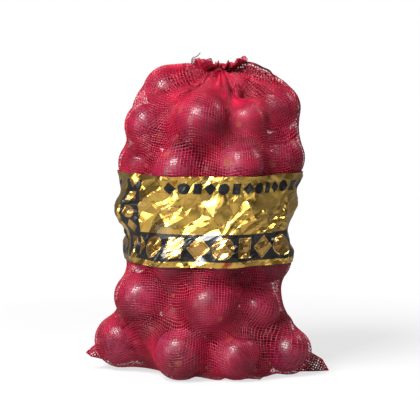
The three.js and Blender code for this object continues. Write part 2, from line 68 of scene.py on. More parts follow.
# The skin of the small onions inside the bag and at its sides: darker copies of the onion skin, painted shade
# for the dark inside the bag and in the gaps at its sides.
INNER_SKIN_PAINTED_SHADE = {
    "light": (0.06, 0.002, 0.010, 1),
    "middle": (0.03, 0.001, 0.004, 1),
    "dark": (0.012, 0.0004, 0.002, 1),
    "coat": 0.0,
}
# A dimmer copy of the onion skin for the small onions at the sides: painted shade in the gaps there.
SIDE_SKIN_PAINTED_SHADE = {
    "light": (0.30, 0.018, 0.09, 1),
    "middle": (0.17, 0.005, 0.04, 1),
    "dark": (0.06, 0.001, 0.014, 1),
    "coat": 0.1,
}


# ---- Small helpers -----------------------------------------------------------


def smoothstep(value: np.ndarray, low: float, high: float) -> np.ndarray:
    """Rises smoothly from 0 at low to 1 at high."""
    t = np.clip((np.asarray(value, float) - low) / (high - low), 0, 1)
    return t * t * (3 - 2 * t)


def lerp(a: np.ndarray, b: np.ndarray, t: np.ndarray) -> np.ndarray:
    """Blends from a at t 0 to b at t 1."""
    return a + (b - a) * t


def unit(vectors: np.ndarray) -> np.ndarray:
    """Scales vectors to a length of one."""
    return vectors / np.maximum(np.linalg.norm(vectors, axis=-1, keepdims=True), 1e-9)


def metres(points: np.ndarray) -> np.ndarray:
    """Moves points from the bag's coordinates in mm into the frame in metres."""
    return (np.asarray(points, float) + BAG_SHIFT) * MM


def swell(points: np.ndarray, wavelength: float, seed: int, waves: int = 7) -> np.ndarray:
    """Smooth repeatable unevenness, about -1 to 1, at points in space.

    Args:
        points: Places in mm, with their coordinates last.
        wavelength: Rough distance from one high to the next, in mm.
        seed: Picks the pattern.
        waves: How many plane waves are added up.

    Returns:
        One number for each point.
    """
    rng = np.random.default_rng(seed)
    total = np.zeros(points.shape[:-1])
    for direction in unit(rng.normal(size=(waves, 3))):
        stretch = rng.uniform(0.7, 1.5)
        phase = rng.uniform(0, FULL_TURN)
        total += np.sin(points @ direction * (FULL_TURN * stretch / wavelength) + phase)
    return total / math.sqrt(waves)


def swells(points: np.ndarray, table: tuple[tuple[float, ...], ...]) -> np.ndarray:
    """Adds up unevenness, each as (share, wavelength in mm, seed)."""
    return sum(share * swell(points, wavelength, seed) for share, wavelength, seed in table)


def neck_fold(bearing: np.ndarray) -> np.ndarray:
    """The phase of the folds that run down from the neck, at bearings round it in radians."""
    return 13 * bearing + 1.2 * np.sin(2 * bearing + 0.4) + 0.7 * np.sin(5 * bearing)


def creases(points: np.ndarray, wavelength: float, seed: int, folds: int, lie: float) -> np.ndarray:
    """Sharp creases between flat facets, as in crumpled foil, about -1 to 1.

    Args:
        points: Places in mm, with their coordinates last.
        wavelength: Rough distance between creases that run the same way, in mm.
        seed: Picks the pattern.
        folds: How many ways the creases run.
        lie: Over 1, the creases run more level than upright.

    Returns:
        One height for each point.
    """
    rng = np.random.default_rng(seed)
    total = np.zeros(points.shape[:-1])
    for number, direction in enumerate(unit(rng.normal(size=(folds, 3)) * (1, 1, lie))):
        wander = 0.35 * swell(points, 2.6 * wavelength, seed * 31 + number)
        there = smoothstep(swell(points, 2.2 * wavelength, seed * 57 + number), -0.6, 0.9)
        turn = points @ direction / (wavelength * rng.uniform(0.7, 1.4)) + wander
        total += there * (4 * np.abs((turn + rng.uniform()) % 1 - 0.5) - 1)
    return total / math.sqrt(folds)


def make_mesh(
    name: str, points: np.ndarray, quads: np.ndarray, uv: np.ndarray | None = None
) -> bpy.types.Object:
    """Makes an object of four-sided faces.

    Args:
        name: The object's name.
        points: Corners in mm, in the bag's coordinates.
        quads: Four corner numbers a face, anticlockwise from outside.
        uv: The map's two numbers for each face's corners, if it needs a map.

    Returns:
        The new object, in the scene.
    """
    corners, quads = metres(points).reshape(-1, 3), quads.reshape(-1, 4)
    mesh = bpy.data.meshes.new(name)
    mesh.vertices.add(len(corners))
    mesh.vertices.foreach_set("co", corners.ravel())
    mesh.loops.add(quads.size)
    mesh.loops.foreach_set("vertex_index", quads.ravel().astype(np.int32))
    mesh.polygons.add(len(quads))
    mesh.polygons.foreach_set("loop_start", np.arange(0, quads.size, 4, dtype=np.int32))
    mesh.update(calc_edges=True)
    if uv is not None:
        layer = mesh.uv_layers.new(name="map")
        layer.uv.foreach_set("vector", np.ascontiguousarray(uv, np.float32).ravel())
    mesh.validate()
    mesh.shade_smooth()
    made = bpy.data.objects.new(name, mesh)
    bpy.context.scene.collection.objects.link(made)
    return made


def tape(
    path: np.ndarray, out: np.ndarray, side: np.ndarray, width: np.ndarray | float, thickness: float
) -> np.ndarray:
    """The four corners of each point of flat tapes.

    Args:
        path: The tapes' middle lines.
        out: Unit vectors out of the net.
        side: Unit vectors across each tape.
        width: How wide the tape is there.
        thickness: How thick it is.

    Returns:
        Corners, with the corner number before the coordinates.
    """
    half, thick = side * np.asarray(width)[..., None] / 2, out * thickness / 2
    return np.stack([path - half - thick, path + half - thick, path + half + thick, path - half + thick], -2)


def tape_faces(corners: np.ndarray, axis: int, offset: int) -> np.ndarray:
    """The faces of tapes that run along an axis: open runs up, closed ones round.

    Args:
        corners: The tapes' corners by row and column.
        axis: 0 for tapes that run up the rows, 1 for those that run round.
        offset: The first corner's number.

    Returns:
        Four corner numbers a face.
    """
    rows, columns = corners.shape[:2]
    numbers = np.arange(rows * columns * 4).reshape(rows, columns, 4) + offset
    here, there = (numbers[:-1], numbers[1:]) if axis == 0 else (numbers, np.roll(numbers, -1, 1))
    quads = []
    for corner in range(4):
        following = (corner + 1) % 4
        quad = [here[..., corner], here[..., following], there[..., following], there[..., corner]]
        quads.append(np.stack(quad, -1).reshape(-1, 4))
    if axis == 0:
        quads += [numbers[0][:, ::-1], numbers[-1]]
    faces = np.concatenate(quads)
    return faces if axis == 0 else faces[:, ::-1]


def read_grid(field: np.ndarray, row: np.ndarray, column: np.ndarray) -> np.ndarray:
    """Reads a field between its rows and columns, where the columns go right round.

    Args:
        field: Values by row and column, each a list.
        row: Rows, with fractions.
        column: Columns, with fractions.

    Returns:
        The field's values there.
    """
    row = np.clip(row, 0, len(field) - 1.000001)
    low, left = np.floor(row).astype(int), np.floor(column).astype(int)
    up, over = (row - low)[..., None], (column - left)[..., None]
    left, right = left % field.shape[1], (left + 1) % field.shape[1]
    below = lerp(field[low, left], field[low, right], over)
    above = lerp(field[low + 1, left], field[low + 1, right], over)
    return lerp(below, above, up)


def run_length(path: np.ndarray, closed: bool = False) -> np.ndarray:
    """How far along a path each of its points is, from 0; a closed one ends at its start."""
    steps = np.roll(path, -1, 0) - path if closed else np.diff(path, axis=0)
    return np.concatenate([[0], np.cumsum(np.linalg.norm(steps, axis=-1))])


def make_tube(
    name: str, path: np.ndarray, radius: float, sides: int, closed: bool = False
) -> bpy.types.Object:
    """Makes a round cord along a path.

    Args:
        name: The object's name.
        path: Points in mm.
        radius: The cord's radius.
        sides: Faces round it.
        closed: Whether it runs back into its own start.

    Returns:
        The new object, with a map that has the way round along U and mm along V.
    """
    ahead = np.roll(path, -1, 0) - np.roll(path, 1, 0) if closed else np.gradient(path, axis=0)
    ahead = unit(ahead)
    side = np.zeros_like(path)
    last = unit(np.cross(ahead[0], (0.3, 0.5, 0.8)))
    for i, way in enumerate(ahead):
        last = unit(last - way * (last @ way))
        side[i] = last
    other = np.cross(ahead, side)
    turn = np.arange(sides) * FULL_TURN / sides
    if closed:
        twist = math.atan2(side[0] @ other[-1], side[0] @ side[-1])
        turn = turn + (np.arange(len(path)) / len(path) * twist)[:, None]
    else:
        turn = np.broadcast_to(turn, (len(path), sides))
    out = side[:, None] * np.cos(turn)[..., None] + other[:, None] * np.sin(turn)[..., None]
    points = path[:, None] + out * radius
    numbers = np.arange(len(path) * sides).reshape(len(path), sides)
    ring = np.roll(numbers, -1, 1)
    rows = np.arange(len(path) if closed else len(path) - 1)
    above, above_ring = np.roll(numbers, -1, 0)[rows], np.roll(ring, -1, 0)[rows]
    quads = np.stack([numbers[rows], ring[rows], above_ring, above], -1).reshape(-1, 4)
    run, step = run_length(path, True), 1 / sides
    u = np.arange(sides) / sides
    low, high = (np.meshgrid(run[each], u, indexing="ij") for each in (rows, rows + 1))
    corners = [(low[1], low[0]), (low[1] + step, low[0]), (high[1] + step, high[0]), (high[1], high[0])]
    uv = np.stack([np.stack(corner, -1) for corner in corners], 2).reshape(-1, 4, 2)
    if not closed:
        ends = (numbers[0][::-1], numbers[-1])
        caps = [[end[k], end[k + 1], end[-k - 2], end[-k - 1]] for end in ends for k in range(sides // 2 - 1)]
        quads = np.concatenate([quads, np.array(caps)])
        uv = np.concatenate([uv, np.zeros((len(caps), 4, 2))])
    return make_mesh(name, points, quads, uv)


def spline(points: np.ndarray, count: int) -> np.ndarray:
    """A smooth curve through points, as evenly spaced points.

    Args:
        points: The points that it goes through, as part.mjs gives them.
        count: How many points are wanted.

    Returns:
        The curve's points, with the same ends.
    """
    ends = [2 * points[0] - points[1], 2 * points[-1] - points[-2]]
    p = np.concatenate([ends[:1], points, ends[1:]])
    dense = []
    for i in range(1, len(p) - 2):
        a, b, c = (np.linalg.norm(p[k + 1] - p[k]) ** 0.5 for k in (i - 1, i, i + 1))
        start = ((p[i] - p[i - 1]) / a - (p[i + 1] - p[i - 1]) / (a + b) + (p[i + 1] - p[i]) / b) * b
        end = ((p[i + 1] - p[i]) / b - (p[i + 2] - p[i]) / (b + c) + (p[i + 2] - p[i + 1]) / c) * b
        t = np.linspace(0, 1, 40, endpoint=i == len(p) - 3)[:, None]
        bend = -3 * p[i] + 3 * p[i + 1] - 2 * start - end
        dense.append(p[i] + start * t + bend * t**2 + (2 * p[i] - 2 * p[i + 1] + start + end) * t**3)
    line = np.concatenate(dense)
    run = run_length(line)
    where = np.linspace(0, run[-1], count)
    return np.stack([np.interp(where, run, line[:, k]) for k in range(3)], -1)


def only(made: bpy.types.Object) -> None:
    """Selects one object alone and makes it the active one.

    Args:
        made: The object.
    """
    bpy.ops.object.select_all(action="DESELECT")
    made.select_set(True)
    bpy.context.view_layer.objects.active = made


def read_points(made: bpy.types.Object) -> np.ndarray:
    """Reads an object's corners.

    Args:
        made: The object.

    Returns:
        Its corners, one a row, as its mesh has them.
    """
    points = np.empty(len(made.data.vertices) * 3)
    made.data.vertices.foreach_get("co", points)
    return points.reshape(-1, 3)


def write_points(made: bpy.types.Object, points: np.ndarray) -> None:
    """Moves an object's corners."""
    made.data.vertices.foreach_set("co", np.ascontiguousarray(points, float).ravel())
    made.data.update()


def finish_piece(
    made: bpy.types.Object,
    finish: bpy.types.Material,
    stands_for: tuple[str, ...] = (),
) -> None:
    """Dresses a finished piece and says how it goes with the frame.

    Args:
        made: The piece.
        finish: Its material.
        stands_for: The CAD nodes that it replaces.
    """
    made.data.materials.clear()
    made.data.materials.append(finish)
    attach(made, "root")
    if stands_for:
        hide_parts(*stands_for)
    LOG.info("%s: %d faces", made.name, len(made.data.polygons))


# ---- Finishes ----------------------------------------------------------------


class Wire:
    """A number or a vector that a node gives out, for use in sums."""

    def __init__(self, graph: "Graph", socket: bpy.types.NodeSocket) -> None:
        """Holds a node's output."""
        self.graph, self.socket = graph, socket

    def __add__(self, other: object) -> "Wire":
        """Adds another wire or a number."""
        return self.graph.math("ADD", self, other)

    def __sub__(self, other: object) -> "Wire":
        """Takes away another wire or a number."""
        return self.graph.math("SUBTRACT", self, other)

    def __rsub__(self, other: object) -> "Wire":
        """Takes this away from a number."""
        return self.graph.math("SUBTRACT", other, self)

    def __mul__(self, other: object) -> "Wire":
        """Multiplies by another wire or a number."""
        return self.graph.math("MULTIPLY", self, other)

    def __truediv__(self, other: object) -> "Wire":
        """Divides by another wire or a number."""
        return self.graph.math("DIVIDE", self, other)

    def __mod__(self, other: object) -> "Wire":
        """What is left over after whole steps of another, never below 0."""
        return self.graph.math("FLOORED_MODULO", self, other)

    def __abs__(self) -> "Wire":
        """Drops the sign."""
        return self.graph.math("ABSOLUTE", self)

    def __gt__(self, other: object) -> "Wire":
        """1 where this is the greater, else 0."""
        return self.graph.math("GREATER_THAN", self, other)

    def __lt__(self, other: object) -> "Wire":
        """1 where this is the smaller, else 0."""
        return self.graph.math("LESS_THAN", self, other)

    __radd__, __rmul__ = __add__, __mul__


class Graph:
    """A material's nodes, built by named calls."""

    def __init__(self, name: str) -> None:
        """Starts a material with its Principled shader."""
        self.take(bpy.data.materials.new(name))
        self.shader = self.nodes["Principled BSDF"]

    def take(self, owner: bpy.types.ID) -> None:
        """Works on the nodes of a material or a world.

        Args:
            owner: The material or the world.
        """
        self.owner = owner
        owner.use_nodes = True
        self.nodes, self.links = owner.node_tree.nodes, owner.node_tree.links

    def plug(self, socket: bpy.types.NodeSocket, value: object) -> None:
        """Sets a socket to a value, or links it to another node's output.

        Args:
            socket: The input.
            value: A wire, or a value of the socket's own kind.
        """
        if isinstance(value, Wire):
            self.links.new(value.socket, socket)
        else:
            socket.default_value = value

    def node(self, kind: str, out: str | int = 0, inputs: tuple = (), **values: object) -> Wire:
        """Adds a node.

        Args:
            kind: The node's type, without ShaderNode in front.
            out: The output that is wanted.
            inputs: Values or wires for the first inputs, in order.
            values: Settings in lower case, and sockets with a capital letter,
                where _ stands for a space.

        Returns:
            The output.
        """
        made = self.nodes.new("ShaderNode" + kind)
        for key, value in values.items():
            if key[0].islower():
                setattr(made, key, value)
            else:
                self.plug(made.inputs[key.replace("_", " ")], value)
        for socket, value in zip(made.inputs, inputs):
            self.plug(socket, value)
        return Wire(self, made.outputs[out])

    def math(self, operation: str, *values: object) -> Wire:
        """Adds a Math node with these inputs, in order."""
        return self.node("Math", inputs=values, operation=operation)

    def vector(self, operation: str, out: str, *values: object) -> Wire:
        """Adds a Vector Math node with these inputs, in order."""
        return self.node("VectorMath", out, values, operation=operation)

    def place(self) -> Wire:
        """Where a point of the piece is, in metres."""
        return self.node("TexCoord", "Object")

    def map_axes(self) -> tuple[Wire, Wire]:
        """U and V of the piece's own map."""
        u = self.node("SeparateXYZ", "X", Vector=self.node("TexCoord", "UV"))
        return u, Wire(self, u.socket.node.outputs["Y"])

    def mix(self, share: object, first: object, second: object) -> Wire:
        """Blends from the first colour to the second.

        Args:
            share: 0 for the first colour and 1 for the second.
            first: A colour or a wire.
            second: A colour or a wire.

        Returns:
            The blended colour.
        """
        made = self.nodes.new("ShaderNodeMix")
        made.data_type = "RGBA"
        for name, value in (("Factor_Float", share), ("A_Color", first), ("B_Color", second)):
            self.plug(next(s for s in made.inputs if s.identifier == name), value)
        return Wire(self, next(s for s in made.outputs if s.identifier == "Result_Color"))

    def steps(self, value: object, *stops: tuple[float, tuple[float, ...]]) -> Wire:
        """Colours a value by a ramp.

        Args:
            value: The place on the ramp, from 0 to 1.
            stops: The ramp's (place, colour) stops, in order.

        Returns:
            The colour.
        """
        made = self.nodes.new("ShaderNodeValToRGB")
        ramp = made.color_ramp
        while len(ramp.elements) < len(stops):
            ramp.elements.new(0.5)
        for element, (place, colour) in zip(ramp.elements, stops):
            element.position, element.color = place, colour
        self.plug(made.inputs[0], value)
        return Wire(self, made.outputs[0])

    def noise(self, place: object, scale: float, detail: float) -> Wire:
        """Adds a noise texture; scale is in waves a metre where place is in metres."""
        return self.node("TexNoise", Vector=place, Scale=scale, Detail=detail)

    def bump(self, height: object, distance: float, strength: float = 1.0) -> Wire:
        """Adds a bump of a height in metres at full strength."""
        return self.node("Bump", Height=height, Distance=distance, Strength=strength)

    def surface(self, **values: object) -> bpy.types.Material:
        """Sets the shader's sockets.

        Args:
            values: Values or wires by the socket's name, where _ stands for a space.

        Returns:
            The material.
        """
        for key, value in values.items():
            self.plug(self.shader.inputs[key.replace("_", " ")], value)
        return self.owner


class WorldGraph(Graph):
    """A world's nodes, built by the same calls."""

    def __init__(self, name: str) -> None:
        """Starts a world with nothing in it but its output.

        Args:
            name: The world's name.
        """
        self.take(bpy.data.worlds.new(name))
        self.nodes.clear()
        self.output = self.nodes.new("ShaderNodeOutputWorld")


def grey(value: float) -> tuple[float, float, float, float]:
    """A grey, for use as a colour."""
    return (value, value, value, 1.0)


@dataclass(frozen=True)
class NetThread:
    """Crimson plastic tape, drawn flat, that the net is woven of."""

    deep: tuple[float, ...] = (0.33, 0.004, 0.024, 1)
    bright: tuple[float, ...] = (0.66, 0.012, 0.062, 1)
    smoothest: float = 0.22
    roughest: float = 0.48

    def build(self, name: str) -> bpy.types.Material:
        """Makes the material.

        Args:
            name: The material's name.

        Returns:
            The material.
        """
        g = Graph(name)
        fibre = g.noise(g.place(), 900, 2)
        tone = g.noise(g.place(), 38, 4) * 0.75 + fibre * 0.25
        return g.surface(
            Base_Color=g.steps(tone, (0.36, self.deep), (0.62, self.bright)),
            Roughness=g.node("MapRange", Value=fibre, To_Min=self.smoothest, To_Max=self.roughest),
            Specular_IOR_Level=0.42,
            Normal=g.bump(fibre, 0.0001, 0.5),
        )


@dataclass(frozen=True)
class OnionSkin:
    """Thin papery skin: magenta, veined from root to neck, tan at both ends."""

    light: tuple[float, ...] = (0.52, 0.036, 0.17, 1)
    middle: tuple[float, ...] = (0.215, 0.005, 0.046, 1)
    dark: tuple[float, ...] = (0.06, 0.001, 0.014, 1)
    tan: tuple[float, ...] = (0.50, 0.25, 0.09, 1)
    veins: float = 46.0
    coat: float = 0.9

    def build(self, name: str) -> bpy.types.Material:
        """Makes the material. The skin's own map has a turn along U and root to neck along V.

        Args:
            name: The material's name.

        Returns:
            The material.
        """
        g = Graph(name)
        u, v = g.map_axes()
        wander = (g.noise(g.place(), 30, 2) - 0.5) * 0.05
        along = g.node("CombineXYZ", X=(u + wander) * self.veins, Y=v * 2.0)
        vein, fine, patch = g.noise(along, 1.0, 4), g.noise(along, 3.6, 3), g.noise(g.place(), 26, 4)
        tone = vein * 0.45 + patch * 0.4 + fine * 0.15
        colour = g.steps(tone, (0.38, self.dark), (0.5, self.middle), (0.63, self.light))
        ends = abs(v - 0.5) * 2.0 + (patch - 0.5) * 0.22
        return g.surface(
            Base_Color=g.mix(g.node("MapRange", Value=ends, From_Min=0.86, From_Max=0.94), colour, self.tan),
            Roughness=g.node("MapRange", Value=vein, To_Min=0.32, To_Max=0.50),
            Specular_IOR_Level=0.55,
            Coat_Weight=self.coat,
            Coat_Roughness=0.23,
            Normal=g.bump(vein * 0.7 + fine * 0.3, 0.0006, 0.6),
        )


class PrintShape(Enum):
    """The plain shapes that the film's print takes by turns, by their number in the row."""

    DISC = 0
    BLOCK = 1
    LOZENGE = 2


@dataclass(frozen=True)
class GoldFilm:
    """Crinkled metallised film: gold, with plain fields and simple shapes printed in black.

    Places along the film are mm round the bag from its front, and places up it are mm from
    its lower edge.
    """

    perimeter: float
    height: float
    gold: tuple[float, ...] = (0.93, 0.58, 0.12, 1)
    bronze: tuple[float, ...] = (0.80, 0.46, 0.13, 1)
    ink: tuple[float, ...] = (0.012, 0.011, 0.012, 1)
    repeat: float = 310
    margin: float = 6
    # The upright strip, and the band along the foot of the film.
    strip: tuple[float, float] = (-117, -91)
    band: tuple[float, float] = (6.5, 36.5)
    # Each row of shapes: from one shape to the next, and half a shape's height.
    band_row: tuple[float, float] = (26.5, 12.0)
    strip_row: tuple[float, float] = (17.0, 7.2)
    top_row: tuple[float, float] = (14.4, 6.3)
    top_row_middle: float = 87.5
    # Where the top row starts after the strip, and ends before the next one.
    top_row_gaps: tuple[float, float] = (35, 23)
    # The fine line inside the band's shapes: how far in, and half its width.
    line: tuple[float, float] = (2.0, 0.45)
    # The crinkles: which way each set runs across, half its wavelength in mm, and its slope.
    pleats: tuple[tuple, ...] = (
        ((-0.62, 0.30, 0.78), 9.0, 0.24),
        ((-0.82, 0.30, 0.55), 16.0, 0.20),
        ((-0.38, -0.30, 0.92), 12.0, 0.18),
        ((0.85, 0.20, 0.50), 23.0, 0.17),
        ((-0.70, 0.10, 0.70), 4.6, 0.13),
        ((0.10, 0.30, 1.00), 6.5, 0.12),
    )
    # Crinkles with a shorter half wave than this come and go.
    patchy_below: float = 8

    def build(self, name: str) -> bpy.types.Material:
        """Makes the material. The film's map has its length along U and its height along V.

        Args:
            name: The material's name.

        Returns:
            The material.
        """
        g = Graph(name)
        fill, ink = self.prints(g)
        grain = g.noise(g.place(), 160, 3)
        return g.surface(
            Base_Color=g.mix(ink, g.mix(fill, self.gold, self.bronze), self.ink),
            Metallic=1.0 - ink * 0.92,
            Roughness=g.node("MapRange", Value=grain, From_Min=0.3, From_Max=0.7, To_Min=0.17, To_Max=0.30),
            Coat_Weight=0.35,
            Coat_Roughness=0.12,
            Normal=g.bump(self.facets(g), 1.0),
        )

    def prints(self, g: Graph) -> tuple[Wire, Wire]:
        """Where the film is printed.

        Args:
            g: The material's nodes.

        Returns:
            1 inside the bronze shapes, and the share of black.
        """
        u, v = g.map_axes()
        start = self.strip[0] - self.margin
        along = ((u - 0.5) * self.perimeter - start) % self.repeat + start
        up = v * self.height
        in_strip = self.between(along, *self.strip)
        in_strip = in_strip * self.between(up, self.band[0], self.height - self.margin)
        in_band = self.between(up, *self.band) * (along > self.strip[0])
        big = self.shapes(g, along, up - sum(self.band) / 2, *self.band_row)
        past_strip = along > self.strip[1] + 1
        small = self.shapes(g, up, along - sum(self.strip) / 2, *self.strip_row)
        fill = g.math("MAXIMUM", (big < 0) * past_strip, (small < 0) * in_strip)
        line = (abs(big + self.line[0]) < self.line[1]) * past_strip
        top = self.shapes(g, along, up - self.top_row_middle, *self.top_row)
        first, last = self.strip[1] + self.top_row_gaps[0], self.strip[0] + self.repeat - self.top_row_gaps[1]
        in_top = (top < 0) * self.between(along, first, last)
        ink = g.math("MAXIMUM", g.math("MAXIMUM", in_strip, in_band) - fill, in_top)
        return fill, g.math("MAXIMUM", ink, line * 0.75)

    def facets(self, g: Graph) -> Wire:
        """Shapes crinkled film: flat facets between sharp creases.

        Args:
            g: The material's nodes.

        Returns:
            The film's height in metres.
        """
        wander = g.node("TexNoise", "Color", Vector=g.place(), Scale=14, Detail=2.0)
        bent = g.vector("MULTIPLY_ADD", "Vector", wander, (0.042, 0.042, 0.042), g.place())
        patch = g.node("MapRange", Value=g.noise(g.place(), 26, 1), From_Min=0.4, From_Max=0.6)
        total = 0.0
        for way, half, slope in self.pleats:
            each = g.math("PINGPONG", g.vector("DOT_PRODUCT", "Value", bent, way), half * MM) * slope
            total = total + (each * patch if half < self.patchy_below else each)
        return total

    @staticmethod
    def between(value: Wire, low: float, high: float) -> Wire:
        """1 where a value lies between two others."""
        return (value > low) * (value < high)

    @staticmethod
    def shapes(g: Graph, along: Wire, across: Wire, pitch: float, half: float) -> Wire:
        """How far a place is outside a row of plain discs, blocks and lozenges by turns.

        Args:
            g: The material's nodes.
            along: mm along the row.
            across: mm from the row's middle.
            pitch: From one shape to the next.
            half: Half a shape's height.

        Returns:
            The distance, less than 0 inside.
        """
        number = g.math("FLOOR", along / pitch) % 3.0
        x, y = abs(along % pitch - pitch / 2), abs(across)
        outside = {
            PrintShape.DISC: g.math("SQRT", x * x + y * y) - half,
            PrintShape.BLOCK: g.math("MAXIMUM", x - half * 0.72, y - half * 0.94),
            PrintShape.LOZENGE: (x + y - half * 1.12) * 0.8,
        }
        return sum(
            distance * g.math("COMPARE", number, float(shape.value), 0.1)
            for shape, distance in outside.items()
        )


@dataclass(frozen=True)
class BraidedCord:
    """Thin braided cord."""

    # Painted shade in the braid's grooves, and the colour of its crests.
    dark: tuple[float, ...] = (0.003, 0.003, 0.003, 1)
    light: tuple[float, ...] = (0.014, 0.013, 0.014, 1)
    strands: float = 4.0
    lay_length: float = 4.5

    def build(self, name: str) -> bpy.types.Material:
        """Makes the material. The cord's map has a turn along U and mm along V.

        Args:
            name: The material's name.

        Returns:
            The material.
        """
        g = Graph(name)
        u, v = g.map_axes()
        turn, slant = u * (FULL_TURN * self.strands), v * (FULL_TURN / self.lay_length * 2)
        braid = (g.math("SINE", turn + slant) * g.math("SINE", turn - slant) + 1.0) * 0.5
        height = braid + g.noise(g.place(), 1500, 2) * 0.4
        # The colour follows the braid's height: painted shade in the grooves between the strands, lighter on
        # their crests, over a bump of the same height.
        return g.surface(
            Base_Color=g.steps(height, (0.2, self.dark), (1.0, self.light)),
            Roughness=0.6,
            Specular_IOR_Level=0.3,
            Normal=g.bump(height, 0.0003, 0.8),
        )


@dataclass(frozen=True)
class YarnFibre:
    """Thin dark purple yarn."""

    dark: tuple[float, ...] = (0.020, 0.006, 0.016, 1)
    light: tuple[float, ...] = (0.09, 0.02, 0.05, 1)

    def build(self, name: str) -> bpy.types.Material:
        """Makes the material.

        Args:
            name: The material's name.

        Returns:
            The material.
        """
        g = Graph(name)
        fibre = g.noise(g.place(), 1800, 2)
        return g.surface(
            Base_Color=g.steps(fibre, (0.35, self.dark), (0.65, self.light)),
            Roughness=0.6,
            Normal=g.bump(fibre, 0.0002, 0.6),
        )


# ---- The onions ----------------------------------------------------------------


class SeededRandom:
    """The same repeatable random numbers from 0 to 1 that part.mjs draws."""

    def __init__(self, seed: int) -> None:
        """Starts from a seed."""
        self.state = seed

    def __call__(self) -> float:
        """Draws the next number."""
        self.state = (self.state * 1664525 + 1013904223) % 4294967296
        return self.state / 4294967296


@dataclass
class Ball:
    """The ball that an onion fills."""

    x: float
    y: float
    z: float
    radius: float
    free: bool = False

    @property
    def centre(self) -> np.ndarray:
        """The ball's centre."""
        return np.array([self.x, self.y, self.z])

    def gap(self, places: np.ndarray) -> np.ndarray:
        """How far places are outside the ball."""
        return np.linalg.norm(places - self.centre, axis=-1) - self.radius


